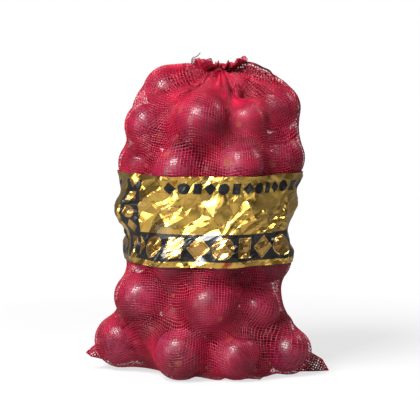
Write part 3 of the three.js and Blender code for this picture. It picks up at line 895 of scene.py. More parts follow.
@dataclass
class Packing:
    """How the onions are packed, as in part.mjs."""

    crown_z: float = 345
    spine: tuple[float, ...] = (62, 285, -6, 12)
    core_spread: float = 8
    diameter: float = 57
    diameter_spread: float = 8
    height_spread: float = 9
    rounds: int = 200
    seed: int = 2
    # Height, middle, half width and half depth of the room inside the bag.
    envelope: tuple[tuple[float, ...], ...] = (
        (0, -7, 118, 86),
        (35, -7, 118, 86),
        (85, -13, 93, 85),
        (130, -3, 96, 84),
        (190, -4, 100, 84),
        (240, 1, 104, 84),
        (300, 4, 98, 80),
        (345, 5, 76, 60),
    )
    # Centre and diameter of the onions that show, course by course from the floor.
    seen: tuple[tuple[float, ...], ...] = (
        (-103, 6, 33, 60),
        (-33, -56, 30, 59),
        (30, -56, 27.5, 54),
        (89, -27, 27, 52),
        (-79, -28, 90, 58),
        (1, -54, 82, 61),
        (57, -33, 78, 50),
        (-72, 14, 140, 54),
        (-42, -47, 136, 57),
        (12, -57, 141, 54),
        (61, -21, 134, 62),
        (-77, -16, 190, 56),
        (-16, -50, 187, 52),
        (38, -48, 186, 54),
        (67, 6, 192, 59),
        (-77, 10, 239, 55),
        (-37, -51, 237, 56),
        (34, -52, 241, 57),
        (79, -9, 247, 56),
        (-68, -22, 284, 55),
        (-10, -50, 293, 61),
        (42, -34, 290, 44),
        (74, 4, 303, 57),
        (-47, 10, 322, 57),
        (20, -2, 316, 46),
    )
    # Height, first and last bearing from the front, and count of the onions at the back.
    back: tuple[tuple[float, ...], ...] = (
        (30, 118, 242, 3),
        (85, 112, 245, 3),
        (137, 126, 238, 3),
        (190, 128, 232, 3),
        (240, 124, 236, 3),
        (290, 132, 222, 3),
        (322, 160, 160, 1),
    )
    core: tuple[float, ...] = (34, 84, 134, 184, 234)

    def spine_x(self, z: float) -> float:
        """Where the line up the middle of the bag is, at a height."""
        low, high, x_low, x_high = self.spine
        return float(lerp(x_low, x_high, smoothstep(z, low, high)))

    def room(self, z: float) -> tuple[float, float, float]:
        """The bag's middle, half width and half depth at a height."""
        heights = [ring[0] for ring in self.envelope]
        return tuple(float(np.interp(z, heights, [ring[k] for ring in self.envelope])) for k in (1, 2, 3))

    def back_balls(self, random: SeededRandom) -> list[Ball]:
        """Sets onions round the back, against the net.

        Args:
            random: The numbers to draw from.

        Returns:
            The onions, course by course.
        """
        balls = []
        for z, start, end, count in self.back:
            for i in range(int(count)):
                share = i / (count - 1) if count > 1 else 0
                bearing = math.radians(start + (end - start) * share)
                radius = (self.diameter + self.diameter_spread * (random() - 0.5)) / 2
                height = max(radius, z + self.height_spread * (random() - 0.5))
                middle, half_width, half_depth = self.room(height)
                x = middle + (half_width - radius) * math.sin(bearing)
                y = -(half_depth - radius) * math.cos(bearing)
                balls.append(Ball(x, y, height, radius, True))
        return balls

    def core_balls(self, random: SeededRandom) -> list[Ball]:
        """Sets onions up the middle.

        Args:
            random: The numbers to draw from.

        Returns:
            The onions, from the lowest up.
        """
        balls = []
        for z in self.core:
            y = self.core_spread * (random() - 0.5)
            radius = (self.diameter + self.diameter_spread * (random() - 0.5)) / 2
            balls.append(Ball(self.spine_x(z), y, z, radius, True))
        return balls

    def keep_inside(self, ball: Ball) -> None:
        """Pushes a free onion back inside the bag.

        Args:
            ball: The onion, which is moved.
        """
        middle, half_width, half_depth = self.room(ball.z)
        across = (ball.x - middle) / (half_width - ball.radius)
        deep = ball.y / (half_depth - ball.radius)
        out = math.hypot(across, deep)
        if out > 1:
            ball.x = middle + (ball.x - middle) / out
            ball.y /= out
        ball.z = min(max(ball.z, ball.radius), self.crown_z - ball.radius)

    def settle(self, balls: list[Ball]) -> None:
        """Moves the free onions apart, then trims those that still run into another.

        Args:
            balls: All the onions, of which the free ones are changed.
        """
        free = [ball for ball in balls if ball.free]
        for _ in range(self.rounds):
            for ball in free:
                for other in balls:
                    if other is ball:
                        continue
                    dx, dy, dz = ball.x - other.x, ball.y - other.y, ball.z - other.z
                    apart = math.sqrt(dx * dx + dy * dy + dz * dz)
                    overlap = ball.radius + other.radius - apart
                    if overlap <= 0:
                        continue
                    push = (overlap / 2 if other.free else overlap) / apart
                    ball.x += dx * push
                    ball.y += dy * push
                    ball.z += dz * push
                self.keep_inside(ball)
        for ball in free:
            for other in balls:
                if other is not ball:
                    ball.radius = min(ball.radius, float(other.gap(ball.centre)))

    def balls(self) -> list[Ball]:
        """Packs the bag.

        Returns:
            A ball for each onion: those that show, then the back and the middle.
        """
        random = SeededRandom(self.seed)
        shown = [Ball(x, y, z, diameter / 2) for x, y, z, diameter in self.seen]
        balls = [*shown, *self.back_balls(random), *self.core_balls(random)]
        self.settle(balls)
        return balls


@dataclass
class Fillers:
    """The small onions that fill the gaps between the others, behind the ones that show."""

    balls: list[Ball]
    count: int = 460
    tries: int = 26000
    seed: int = 2
    # Opposite corners of the room that is searched.
    corners: tuple[tuple[float, ...], ...] = ((-122, -84, 6), (122, 84, 342))
    largest: float = 28.5
    least: float = 3.6
    # Only beyond this distance from the middle does a very small one close a gap that shows.
    side_x: float = 78
    least_inside: float = 6.5
    # How far one may press into the next.
    give: float = 2.2
    # How deep they keep under the bag's skin, and how deep near its foot, its top and its sides.
    depth: float = 9
    edge_depth: float = 1.8
    edge_heights: tuple[float, float] = (30, 312)
    edge_x: float = 82

    def space(self, places: np.ndarray, bag: BVHTree) -> np.ndarray:
        """How large a ball fits at each place.

        Args:
            places: Places in mm.
            bag: The CAD bag's skin, in the frame.

        Returns:
            The radius for each place.
        """
        x, z = np.abs(places[:, 0]), places[:, 2]
        at_edge = (z < self.edge_heights[0]) | (z > self.edge_heights[1]) | (x > self.edge_x)
        depth = np.where(at_edge, self.edge_depth, self.depth)
        space = np.zeros(len(places))
        for i, place in enumerate(metres(places)):
            spot, normal, _, away = bag.find_nearest(Vector(place))
            if (Vector(place) - spot).dot(normal) < 0:
                space[i] = away / MM - depth[i]
        for ball in self.balls:
            space = np.minimum(space, ball.gap(places) + self.give)
        return space

    def pack(self, bag: BVHTree) -> tuple[list[Ball], list[Ball]]:
        """Takes the largest that fits, again and again.

        Args:
            bag: The CAD bag's skin, in the frame.

        Returns:
            The small onions inside, and those at the sides.
        """
        places = np.random.default_rng(self.seed).uniform(*self.corners, (self.tries, 3))
        space = self.space(places, bag)
        at_side = np.abs(places[:, 0]) > self.side_x
        inside, sides = [], []
        for _ in range(self.count):
            best = int(np.argmax(space))
            radius = min(float(space[best]), self.largest)
            if radius < self.least:
                break
            ball = Ball(*places[best].tolist(), radius)
            (sides if at_side[best] else inside).append(ball)
            space = np.minimum(space, ball.gap(places) + self.give)
            space[~at_side & (space < self.least_inside)] = 0
        return inside, sides


@dataclass
class Onions:
    """The onions: one is modelled, and copied, turned and sized for each ball."""

    balls: list[Ball]
    name: str = "onions"
    segments: int = 40
    rings: int = 24
    flatness: float = 0.9
    floor_z: float = 0.6
    seed: int = 11
    # The onions that show their root ends, and which way those point.
    roots: tuple[tuple[int, tuple[float, ...]], ...] = ()

    def model(self) -> bpy.types.Object:
        """Models one onion in a ball of 1 mm radius, its neck up.

        Returns:
            The onion to copy.
        """
        bpy.ops.object.select_all(action="DESELECT")
        bpy.ops.mesh.primitive_uv_sphere_add(
            segments=self.segments, ring_count=self.rings, radius=1, location=(0, 0, 0)
        )
        onion = bpy.context.object
        onion.name = "onion_pattern"
        onion.data.shade_smooth()
        points = read_points(onion)
        radius, z = np.hypot(points[:, 0], points[:, 1]), points[:, 2].copy()
        turn = np.arctan2(points[:, 1], points[:, 0])
        # The bulb is a little flat, drawn up into its neck and dimpled at the root.
        top = smoothstep(z, 0.86, 1.0)
        foot = smoothstep(-z, 0.93, 1.0)
        shoulder = 1 - 0.10 * smoothstep(z, 0.25, 0.95)
        ridge = 1 - 0.012 * (0.5 + 0.5 * np.cos(9 * turn + 1.3 * np.sin(2 * turn))) * (1 - z**2)
        scale = shoulder * ridge * (1 - 0.35 * top)
        points[:, 0] *= scale
        points[:, 1] *= scale
        points[:, 2] = z * self.flatness + top * 0.09 + foot * 0.05
        write_points(onion, points * MM)
        return onion

    def build(self, finish: bpy.types.Material) -> bpy.types.Object:
        """Makes all the onions as one piece.

        Args:
            finish: The skin's material.

        Returns:
            The joined onions.
        """
        pattern = self.model()
        base = read_points(pattern) / MM
        rng = np.random.default_rng(self.seed)
        roots = dict(self.roots)
        copies = []
        for number, ball in enumerate(self.balls):
            onion = pattern.copy()
            onion.data = pattern.data.copy()
            onion.name = f"onion_{number}"
            bpy.context.scene.collection.objects.link(onion)
            turn = Quaternion(rng.normal(size=4)).normalized()
            if number in roots:
                turn = Vector((0, 0, -1)).rotation_difference(Vector(roots[number]))
            turned = base @ np.array(turn.to_matrix()).T
            lump = 1 - 0.018 * (1 + swell(turned + number * 7.0, 1.7, self.seed + number))
            points = ball.centre + turned * lump[:, None] * ball.radius
            points[:, 2] = np.maximum(points[:, 2], self.floor_z)
            write_points(onion, metres(points))
            copies.append(onion)
        bpy.data.objects.remove(pattern)
        bpy.ops.object.select_all(action="DESELECT")
        for onion in copies:
            onion.select_set(True)
        bpy.context.view_layer.objects.active = copies[0]
        bpy.ops.object.join()
        joined = bpy.context.object
        joined.name = self.name
        finish_piece(joined, finish)
        return joined


# ---- The net's surface ---------------------------------------------------------


@dataclass
class NetSurface:
    """The bag's skin as a fine grid: rows from the floor to the frill, columns round it."""

    packing: Packing
    balls: list[Ball]
    columns: int = 288
    # How many rows there are for each one in part.mjs.
    fine: int = 4
    clearance: float = 1.2
    rounds: int = 140
    damping: float = 0.9
    # The neck's X, the height of its foot and its radius there.
    neck: tuple[float, ...] = (12, 345, 9.5)
    floor_z: float = 0.85
    # How far the skin may settle in from the CAD bag's, and stand off it.
    play: tuple[float, float] = (1.2, 1.5)
    # A ray that goes this much further or less far than those near it has hit an ear.
    ear_step: float = 4.0
    # How far the broad and the narrow folds by the neck lift the skin.
    folds: tuple[float, float] = (5.6, 1.6)
    # Where the skin is drawn in between the onions: centre, radius and depth.
    hollows: tuple[tuple[float, ...], ...] = (
        (-14, -24, 332, 10, 8),
        (40, -28, 325, 9, 14),
        (-20, -52, 115, 12, 5),
        (-27, -60, 60, 9, 5),
        (-1, -58, 42, 11, 12),
        (36, -55, 218, 9, 4),
        (10, -60, 218, 9, 3),
        (-45, -50, 262, 10, 4),
        (40, -48, 265, 9, 3.5),
        (62, -40, 220, 10, 4),
        (38, -60, 110, 10, 4),
        (60, -45, 52, 9, 5),
    )

    def __post_init__(self) -> None:
        """Lays out the rows and their rays."""
        rows = self.row_list()
        self.z = np.array([z for z, _ in rows])
        latitude = np.radians([each for _, each in rows])
        self.x = np.array([self.packing.spine_x(z) for z in self.z])
        self.rise, self.run = np.sin(latitude), np.cos(latitude)
        self.angle = np.arange(self.columns) * FULL_TURN / self.columns
        around = np.stack([np.cos(self.angle), np.sin(self.angle)], -1)
        up = np.broadcast_to(self.rise[:, None, None], (len(rows), self.columns, 1))
        self.rays = np.concatenate([self.run[:, None, None] * around[None], up], -1)
        self.starts = np.stack([self.x, np.zeros_like(self.x), self.z], -1)

    def row_list(self) -> list[tuple[float, float]]:
        """Lists the rows, as in part.mjs but finer.

        Returns:
            The height and latitude of each row's rays, in mm and degrees.
        """
        low, high = self.packing.spine[:2]
        floor = [-86, -80, -69, -59, -50, -42, -35, -29, -23, -17, -11.5, -5.5]
        steps = ((low, 130, 7), (130, 231, 11), (231, high, 6))
        walls = [low] + [a + (b - a) * (i + 1) / n for a, b, n in steps for i in range(n)]
        top = math.degrees(math.atan2(self.neck[1] - high, self.neck[2]))
        coarse = [(low, each) for each in floor] + [(z, 0) for z in walls]
        coarse += [(high, top * (i + 1) / 12) for i in range(12)]
        numbers = np.linspace(0, len(coarse) - 1, (len(coarse) - 1) * self.fine + 1)
        heights = np.interp(numbers, range(len(coarse)), [z for z, _ in coarse])
        slopes = np.interp(numbers, range(len(coarse)), [each for _, each in coarse])
        return list(zip(heights.tolist(), slopes.tolist()))

    def cast(self, tree: BVHTree) -> np.ndarray:
        """Measures how far each ray goes to the CAD bag's skin, with the ears left out.

        Args:
            tree: The CAD bag, in the frame.

        Returns:
            The reach of each ray, by row and column.
        """
        reach = np.zeros(self.rays.shape[:2])
        for i, start in enumerate(metres(self.starts)):
            origin = Vector(start)
            for j, ray in enumerate(self.rays[i]):
                hit = tree.ray_cast(origin, Vector(ray))
                reach[i, j] = hit[3] / MM if hit[0] is not None else np.nan
        windows = np.stack([np.roll(reach, k, axis=1) for k in range(-5, 6)])
        usual = np.nanmedian(windows, axis=0)
        return np.where(np.abs(reach - usual) > self.ear_step, usual, reach)

    def supports(self) -> np.ndarray:
        """Finds where the skin rests on the onions.

        Returns:
            The least reach of each ray, or 0 where it meets no onion.
        """
        least = np.zeros(self.rays.shape[:2])
        for ball in self.balls:
            to = ball.centre - self.starts
            middle = np.einsum("ijk,ik->ij", self.rays, to)
            off = np.sum(to * to, -1)[:, None] - middle**2
            inside = (ball.radius + self.clearance) ** 2 - off
            least = np.maximum(least, np.where(inside > 0, middle + np.sqrt(np.maximum(inside, 0)), 0))
        return least

    def chord_up(self, reach: np.ndarray) -> np.ndarray:
        """Draws straight lines from the row below each inner row to the row above it.

        Args:
            reach: The reach of each ray.

        Returns:
            Where the lines cross the inner rows' rays.
        """
        z, rise, run = self.z[:, None], self.rise[:, None], self.run[:, None]
        low_run = run[:-2] * reach[:-2]
        low_z = z[:-2] + rise[:-2] * reach[:-2] - z[1:-1]
        across = run[2:] * reach[2:] - low_run
        up = z[2:] + rise[2:] * reach[2:] - z[1:-1] - low_z
        return (low_run * up - low_z * across) / (run[1:-1] * up - rise[1:-1] * across)

    def relax(self, reach: np.ndarray, least: np.ndarray, most: np.ndarray) -> np.ndarray:
        """Lets the skin hang straight between its neighbours, within its limits.

        Args:
            reach: The reach of each ray to start from, which is changed.
            least: The least that it may be.
            most: The most that it may be.

        Returns:
            The reach of each ray.
        """
        hoop_share = lerp(0.75, 0.35, smoothstep(self.z, 130, 231)) * self.run
        share = hoop_share[1:-1, None]
        bend = math.cos(FULL_TURN / self.columns)
        for _ in range(self.rounds):
            inverse = 1 / reach[1:-1]
            around = (np.roll(inverse, 1, 1) + np.roll(inverse, -1, 1)) / (2 * bend)
            up = 1 / self.chord_up(reach)
            hung = up + (around - up) * share
            moved = 1 / (inverse + self.damping * (hung - inverse))
            reach[1:-1] = np.clip(moved, least[1:-1], most[1:-1])
        return reach

    def pleats(self, points: np.ndarray) -> np.ndarray:
        """Lifts the skin in the folds that run down from the neck.

        Args:
            points: The skin's points.

        Returns:
            How far each point is lifted.
        """
        away = np.hypot(points[..., 0] - self.neck[0], points[..., 1])
        near = smoothstep(-away, -82, -24) * (1 - 0.75 * smoothstep(-away, -24, -10))
        near = near * smoothstep(points[..., 2], 288, 326)
        phase = neck_fold(self.angle) + 0.3 * swell(points, 40, 21)
        broad = (0.5 + 0.5 * np.cos(phase)) ** 2
        narrow = (0.5 + 0.5 * np.cos(2.2 * phase + 1)) ** 2
        return near * (self.folds[0] * broad + self.folds[1] * narrow)

    def settle(self, tree: BVHTree) -> np.ndarray:
        """Works out the skin's points.

        Args:
            tree: The CAD bag, whose form the skin keeps.

        Returns:
            Points in mm by row and column.
        """
        cad = self.cast(tree)
        cad[-1] = math.hypot(self.neck[1] - self.packing.spine[1], self.neck[2])
        onion_reach = self.supports()
        least = np.maximum(onion_reach, cad - self.play[0])
        most = np.maximum(least, cad + self.play[1])
        reach = self.relax(cad.copy(), least, most)
        points = self.starts[:, None] + self.rays * reach[..., None]
        for x, y, z, radius, depth in self.hollows:
            near = np.exp(-0.5 * np.sum(((points - (x, y, z)) / radius) ** 2, -1))
            reach = np.maximum(reach - depth * near, np.minimum(reach, onion_reach))
        points = self.starts[:, None] + self.rays * reach[..., None]
        points += self.rays * self.pleats(points)[..., None]
        points[..., 2] = np.maximum(points[..., 2], self.floor_z)
        return points


@dataclass
class Gathers:
    """The neck that the drawstring pulls in, and the frill that stands over it."""

    angle: np.ndarray
    centre_x: float = 12
    neck_radius: float = 8.6
    collar: tuple[float, ...] = (10.2, 351.8)
    ruffle: float = 3.0
    # Bearing, reach from the neck's axis, height of the edge and how far it sags on its way there.
    outline: tuple[tuple[float, ...], ...] = (
        (0, 30, 359.5, 3.5),
        (32, 25, 355.5, 6.0),
        (62, 18, 352.0, 4.0),
        (95, 15, 351.5, 0.0),
        (125, 19, 353.5, 1.0),
        (155, 27, 357.5, 4.0),
        (182, 31, 355.0, 7.0),
        (207, 28, 358.0, 7.5),
        (228, 20, 357.5, 4.5),
        (243, 13, 351.0, 1.0),
        (258, 12.5, 354.5, 0.5),
        (268, 12, 350.5, 0.5),
        (290, 13.5, 351.5, 1.0),
        (312, 20, 355.5, 3.0),
        (335, 27, 358.5, 5.0),
    )

    def pleat(self, shift: float = 0.0) -> np.ndarray:
        """The uneven pleats round the neck.

        Args:
            shift: How far round they are turned, in radians.

        Returns:
            From -1 in to 1 out, at each bearing.
        """
        a = self.angle + shift
        broad = np.cos(11 * a + 1.6 * np.sin(2 * a + 0.5))
        return 0.65 * broad + 0.5 * np.cos(19 * a + 2.2 * np.sin(3 * a) + 1)

    def edge(self, column: int) -> np.ndarray:
        """Reads the frill's outline.

        Args:
            column: Which of its columns.

        Returns:
            The column's value at each bearing.
        """
        bearings = np.radians([row[0] for row in self.outline])
        values = [row[column] for row in self.outline]
        return np.interp(self.angle, bearings, values, period=FULL_TURN)

    def ring(self, radius: np.ndarray, z: np.ndarray) -> np.ndarray:
        """Points round the neck's axis."""
        x = self.centre_x + radius * np.cos(self.angle)
        return np.stack([x, radius * np.sin(self.angle), z + 0 * self.angle], -1)

    def frill(self, share: float, inset: float, lift: float) -> np.ndarray:
        """A ring of the frill, between the collar and its edge.

        Args:
            share: 0 at the collar and 1 at the edge.
            inset: How far inside its outer face.
            lift: How far over its outer face.

        Returns:
            The ring's points.
        """
        radius = lerp(self.collar[0], self.edge(1), share) + share * 2.4 * self.pleat(0.12) - inset
        sag = self.edge(3) * math.sin(math.pi * min(1.0, share * 1.15))
        z = lerp(self.collar[1], self.edge(2), share) + share * self.ruffle * self.pleat() - sag + lift
        return self.ring(radius, z)

    def rows(self) -> np.ndarray:
        """Shapes what is over the skin's last row: up the neck, out over the frill and back inside.

        Returns:
            Points in mm by row and column.
        """
        pleat = self.pleat()
        neck = ((0.9, 346.4), (0.4, 347.6), (0.2, 348.9), (0.4, 350.0), (1.0, 351.0))
        tuck = 0.5 * pleat - 1.5 * np.cos(4 * (self.angle - math.radians(212)))
        rows = [self.ring(self.neck_radius + more + tuck, z) for more, z in neck]
        rows += [self.frill(share, 0, 0) for share in (0, 0.15, 0.35, 0.55, 0.75, 0.9, 1)]
        rows += [self.frill(share, 1.0, 1.0) for share in (0.97, 0.85, 0.65, 0.45, 0.2)]
        rows += [self.ring(6.0 + 0.5 * pleat, 354.0), self.ring(4.0 + 0.3 * pleat, 353.0)]
        return np.array(rows)


@dataclass
class Weave:
    """The net itself: flat tapes up the bag and round it, one over the other by turns."""

    skin: np.ndarray
    anchor_row: int
    neck_row: int
    warps: int = 194
    pitch: float = 3.15
    width: float = 0.74
    thickness: float = 0.32
    lift: float = 0.2
    neck_x: float = 12
    gather: float = 2.7
    # How the tapes stray up, in levels, and over, in columns: share, wavelength and seed.
    slack: tuple[tuple[float, ...], ...] = ((0.55, 95, 3), (0.22, 26, 4), (0.08, 8, 5))
    lean: tuple[tuple[float, ...], ...] = ((0.85, 120, 6), (0.3, 32, 7), (0.08, 9, 8))
    # Where the net is pulled askew: centre, radius, and how far over and up in columns and levels.
    twists: tuple[tuple[float, ...], ...] = (
        (50, -70, 72, 27, 9, -3),
        (86, -30, 45, 22, 6, -2),
        (-88, -20, 50, 24, -6, 2),
        (-45, -50, 300, 26, 6, 2),
        (62, -40, 300, 24, -6, 2),
        (-75, -45, 215, 24, -4, 2),
    )
    # The pieces, and the levels that they start at; the last starts at the neck's foot.
    names: tuple[str, ...] = (
        "net_foot",
        "net_lower",
        "net_waist",
        "net_upper",
        "net_shoulders",
        "net_frill",
    )
    cuts: tuple[int, ...] = (0, 40, 78, 112, 142)

    def __post_init__(self) -> None:
        """Works out the skin's outward normals and where the tapes cross."""
        along = np.roll(self.skin, -1, 1) - np.roll(self.skin, 1, 1)
        up = np.gradient(self.skin, axis=0)
        self.out = unit(np.cross(along, up))
        self.levels = self.level_table()
        self.points, self.normals = self.crossings()

    def level_table(self) -> np.ndarray:
        """Spaces the round tapes evenly up the skin.

        Returns:
            The skin row of each level's tape, by skin column.
        """
        steps = np.linalg.norm(np.diff(self.skin, axis=0), axis=-1)
        run = np.concatenate([np.zeros((1, steps.shape[1])), np.cumsum(steps, 0)])
        stops = [0, self.anchor_row, self.neck_row, len(self.skin) - 1]
        levels = []
        for low, high in zip(stops, stops[1:]):
            if high == low:
                levels.append(np.zeros((0, run.shape[1])))
                continue
            length = run[high] - run[low]
            count = int(round(float(length.mean()) / self.pitch))
            shares = np.arange(count) / count
            starts, rows = run[low], np.arange(len(run))
            each = [np.interp(starts[j] + shares * length[j], run[:, j], rows) for j in range(len(starts))]
            levels.append(np.array(each).T)
        levels.append(np.full((1, run.shape[1]), float(stops[-1])))
        self.stops = np.cumsum([len(each) for each in levels])
        return np.concatenate(levels)

    def crossings(self) -> tuple[np.ndarray, np.ndarray]:
        """Works out where the tapes cross.

        Returns:
            The crossings, and unit vectors out of the net there.
        """
        run = run_length(self.skin[self.anchor_row], True)
        where = np.interp(np.arange(self.warps) / self.warps * run[-1], run, np.arange(len(run)))
        level, column = np.meshgrid(np.arange(len(self.levels)), where, indexing="ij")
        first = self.place(level, column)
        slack, lean = swells(first, self.slack), swells(first, self.lean)
        for x, y, z, radius, over, up in self.twists:
            off = (first - (x, y, z)) / radius
            near = np.exp(-0.5 * np.sum(off * off, -1))
            lean += over * off[..., 2] * near
            slack += up * off[..., 0] * near
        # The net is drawn into the folds by the neck, and lies open on their crests.
        x, y = first[..., 0] - self.neck_x, first[..., 1]
        near = smoothstep(-np.hypot(x, y), -80, -30) * smoothstep(first[..., 2], 300, 326)
        lean += self.gather * near * np.sin(neck_fold(np.arctan2(y, x)))
        inner = smoothstep(level, 2, 8) * (1 - smoothstep(level, self.stops[1] - 3, self.stops[1]))
        level, column = level + slack * inner, column + lean * inner
        return self.place(level, column), unit(self.place(level, column, self.out))

    def place(self, level: np.ndarray, column: np.ndarray, field: np.ndarray | None = None) -> np.ndarray:
        """Reads the skin, or a field of it, at round tapes' levels and skin columns."""
        row = read_grid(self.levels[..., None], level, column)[..., 0]
        return read_grid(self.skin if field is None else field, row, column)

    def piece(self, name: str, first: int, last: int) -> bpy.types.Object:
        """Makes the tapes between two levels.

        Args:
            name: The piece's name.
            first: The lowest level.
            last: The highest level, which the upward tapes reach.

        Returns:
            The piece.
        """
        points, out = self.points, self.normals
        across = np.roll(points, -1, 1) - np.roll(points, 1, 1)
        up = np.gradient(points, axis=0)
        widths = [
            np.clip(0.9 * room, 0.2, self.width)
            for room in (np.linalg.norm(across, axis=-1) / 2, np.linalg.norm(up, axis=-1))
        ]
        turns = np.add.outer(np.arange(points.shape[0]), np.arange(points.shape[1])) % 2 * 2 - 1
        over = out * (self.lift * turns)[..., None]
        warp = tape(points + over, out, unit(np.cross(unit(up), out)), widths[0], self.thickness)
        weft = tape(points - over, out, unit(np.cross(out, unit(across))), widths[1], self.thickness)
        # The next piece has the top level's round tapes, except at the very top.
        warp, weft = warp[first : last + 1], weft[first : last + (last == len(points) - 1)]
        quads = [tape_faces(warp, 0, 0), tape_faces(weft, 1, warp.size // 3)]
        corners = np.concatenate([warp.reshape(-1, 3), weft.reshape(-1, 3)])
        return make_mesh(name, corners, np.concatenate(quads))

    def build(self, finish: bpy.types.Material) -> None:
        """Makes the whole net, in pieces from the floor to the frill.

        Args:
            finish: The tapes' material.
        """
        cuts = (*self.cuts, int(self.stops[1]), len(self.points) - 1)
        for name, low, high in zip(self.names, cuts, cuts[1:]):
            finish_piece(self.piece(name, low, high), finish, ("net_bag",))


@dataclass
class InnerFold:
    """The slack net that lies in folds under the shoulders, round the neck."""

    skin: np.ndarray
    first_row: int
    neck_row: int
    name: str
    depth: float
    seed: int

    def layer(self) -> np.ndarray:
        """Sets the shoulders' skin in, by an uneven depth.

        Returns:
            Points in mm by row and column.
        """
        grid = self.skin[self.first_row : self.neck_row + 1]
        along = np.roll(grid, -1, 1) - np.roll(grid, 1, 1)
        out = unit(np.cross(along, np.gradient(grid, axis=0)))
        rise = np.linspace(0, 1, len(grid))[:, None]
        depth = self.depth * (1 - 0.8 * smoothstep(rise, 0.6, 1)) + 1.1 * swell(grid, 22, self.seed)
        return grid - out * np.maximum(depth, 0.9)[..., None]

    def build(self, finish: bpy.types.Material) -> bpy.types.Object:
        """Makes the folded layer.

        Args:
            finish: The piece's material.

        Returns:
            The piece.
        """
        grid = self.layer()
        weave = Weave(grid, len(grid) // 2, len(grid) - 1, warps=120, pitch=3.4, gather=0, twists=())
        made = weave.piece(self.name, 0, len(weave.points) - 1)
        finish_piece(made, finish, ("net_bag",))
        return made


@dataclass
class Ears:
    """The flat corners of the bag that stick out at its foot: layers of net, sewn shut."""

    pitch: float = 2.85
    width: float = 0.9
    thickness: float = 0.32
    hem_width: float = 1.3
    lift: float = 0.2
    layer_gap: float = 0.8
    floor_z: float = 0.8
    # The layers' places from front to back; each is turned by so many degrees for each step.
    layers: tuple[float, ...] = (-1.5, 0.2, 1.5)
    layer_turn: float = 9
    # How the net ripples to and fro: share, wavelength and seed.
    ripples: tuple[tuple[float, ...], ...] = ((0.9, 24, 31), (0.4, 9, 41))
    # How far back each stands, its slant, and its outline across the front.
    shapes: tuple[tuple, ...] = (
        (-4, 24, ((-104, 12), (-120, 12), (-138, 16.5), (-144, 21), (-128, 34), (-106, 42))),
        (-14, -28, ((90, 3), (107, 0.5), (137, 2), (130, 14), (114, 24), (96, 36))),
    )

    @staticmethod
    def clip(outline: np.ndarray, start: np.ndarray, way: np.ndarray) -> tuple[float, float]:
        """Where a line enters and leaves an outline that bulges everywhere.

        Args:
            outline: Corners, in order.
            start: A point of the line.
            way: The line's direction.

        Returns:
            The two places along the line; the second is lower where it misses.
        """
        middle = outline.mean(0)
        low, high = -1e3, 1e3
        for a, b in zip(outline, np.roll(outline, -1, 0)):
            normal = np.array([b[1] - a[1], a[0] - b[0]])
            normal = normal * np.sign(normal @ (a - middle))
            speed, room = float(normal @ way), float(normal @ (a - start))
            if abs(speed) < 1e-9:
                continue
            if speed > 0:
                high = min(high, room / speed)
            else:
                low = max(low, room / speed)
        return low, high

    def lines(self, outline: np.ndarray, slant: float) -> list[np.ndarray]:
        """Lays the tapes of one layer of an ear.

        Args:
            outline: The ear's corners, as X and Z.
            slant: How far its tapes are turned, in degrees.

        Returns:
            Each tape's points, as X and Z.
        """
        runs = []
        middle = outline.mean(0)
        for turn in (slant, slant + 90):
            way = np.array([math.cos(math.radians(turn)), math.sin(math.radians(turn))])
            across = np.array([-way[1], way[0]])
            for number in range(-14, 15):
                start = middle + across * (number + 0.3) * self.pitch
                low, high = self.clip(outline, start, way)
                if high - low > 1.5:
                    runs.append(start + way * np.linspace(low, high, 9)[:, None])
        return runs

    def stand(self, run: np.ndarray, y: float, layer: float, turn: int) -> np.ndarray:
        """Stands a flat run of points up at the ear's place, a little rippled.

        Args:
            run: The points, as X and Z.
            y: How far back the ear stands.
            layer: The layer's place.
            turn: 1 and -1 by turns, or 0, for the tapes that go over and under.

        Returns:
            Points in mm.
        """
        flat = np.stack([run[:, 0], np.zeros(len(run)), run[:, 1]], -1)
        ripple = swells(flat, self.ripples) + layer * self.layer_gap + turn * self.lift
        stood = flat + np.array([0, y, 0]) + np.array([0, 1, 0]) * ripple[:, None]
        stood[:, 2] = np.maximum(stood[:, 2], self.floor_z)
        return stood

    def build(self, finish: bpy.types.Material) -> bpy.types.Object:
        """Makes both ears as one piece.

        Args:
            finish: The piece's material.

        Returns:
            The piece.
        """
        parts = []
        for y, slant, corners in self.shapes:
            outline = np.array(corners, float)
            for layer in self.layers:
                for number, run in enumerate(self.lines(outline, slant + self.layer_turn * layer)):
                    parts.append((self.stand(run, y, layer, number % 2 * 2 - 1), self.width))
            edge = np.concatenate([np.linspace(a, b, 9)[:-1] for a, b in zip(outline, outline[1:])])
            for lift in (-0.5, 0.5):
                parts.append((self.stand(edge * 0.995, y + lift, 0, 0), self.hem_width))
        front = np.array([0.0, -1.0, 0.0])
        points, quads, offset = [], [], 0
        for path, width in parts:
            side = unit(np.cross(unit(np.gradient(path, axis=0)), front))
            corners = tape(path, front, side, width, self.thickness)[:, None]
            quads.append(tape_faces(corners, 0, offset))
            points.append(corners.reshape(-1, 3))
            offset += corners.size // 3
        made = make_mesh("net_ears", np.concatenate(points), np.concatenate(quads))
        finish_piece(made, finish, ("net_bag",))
        return made


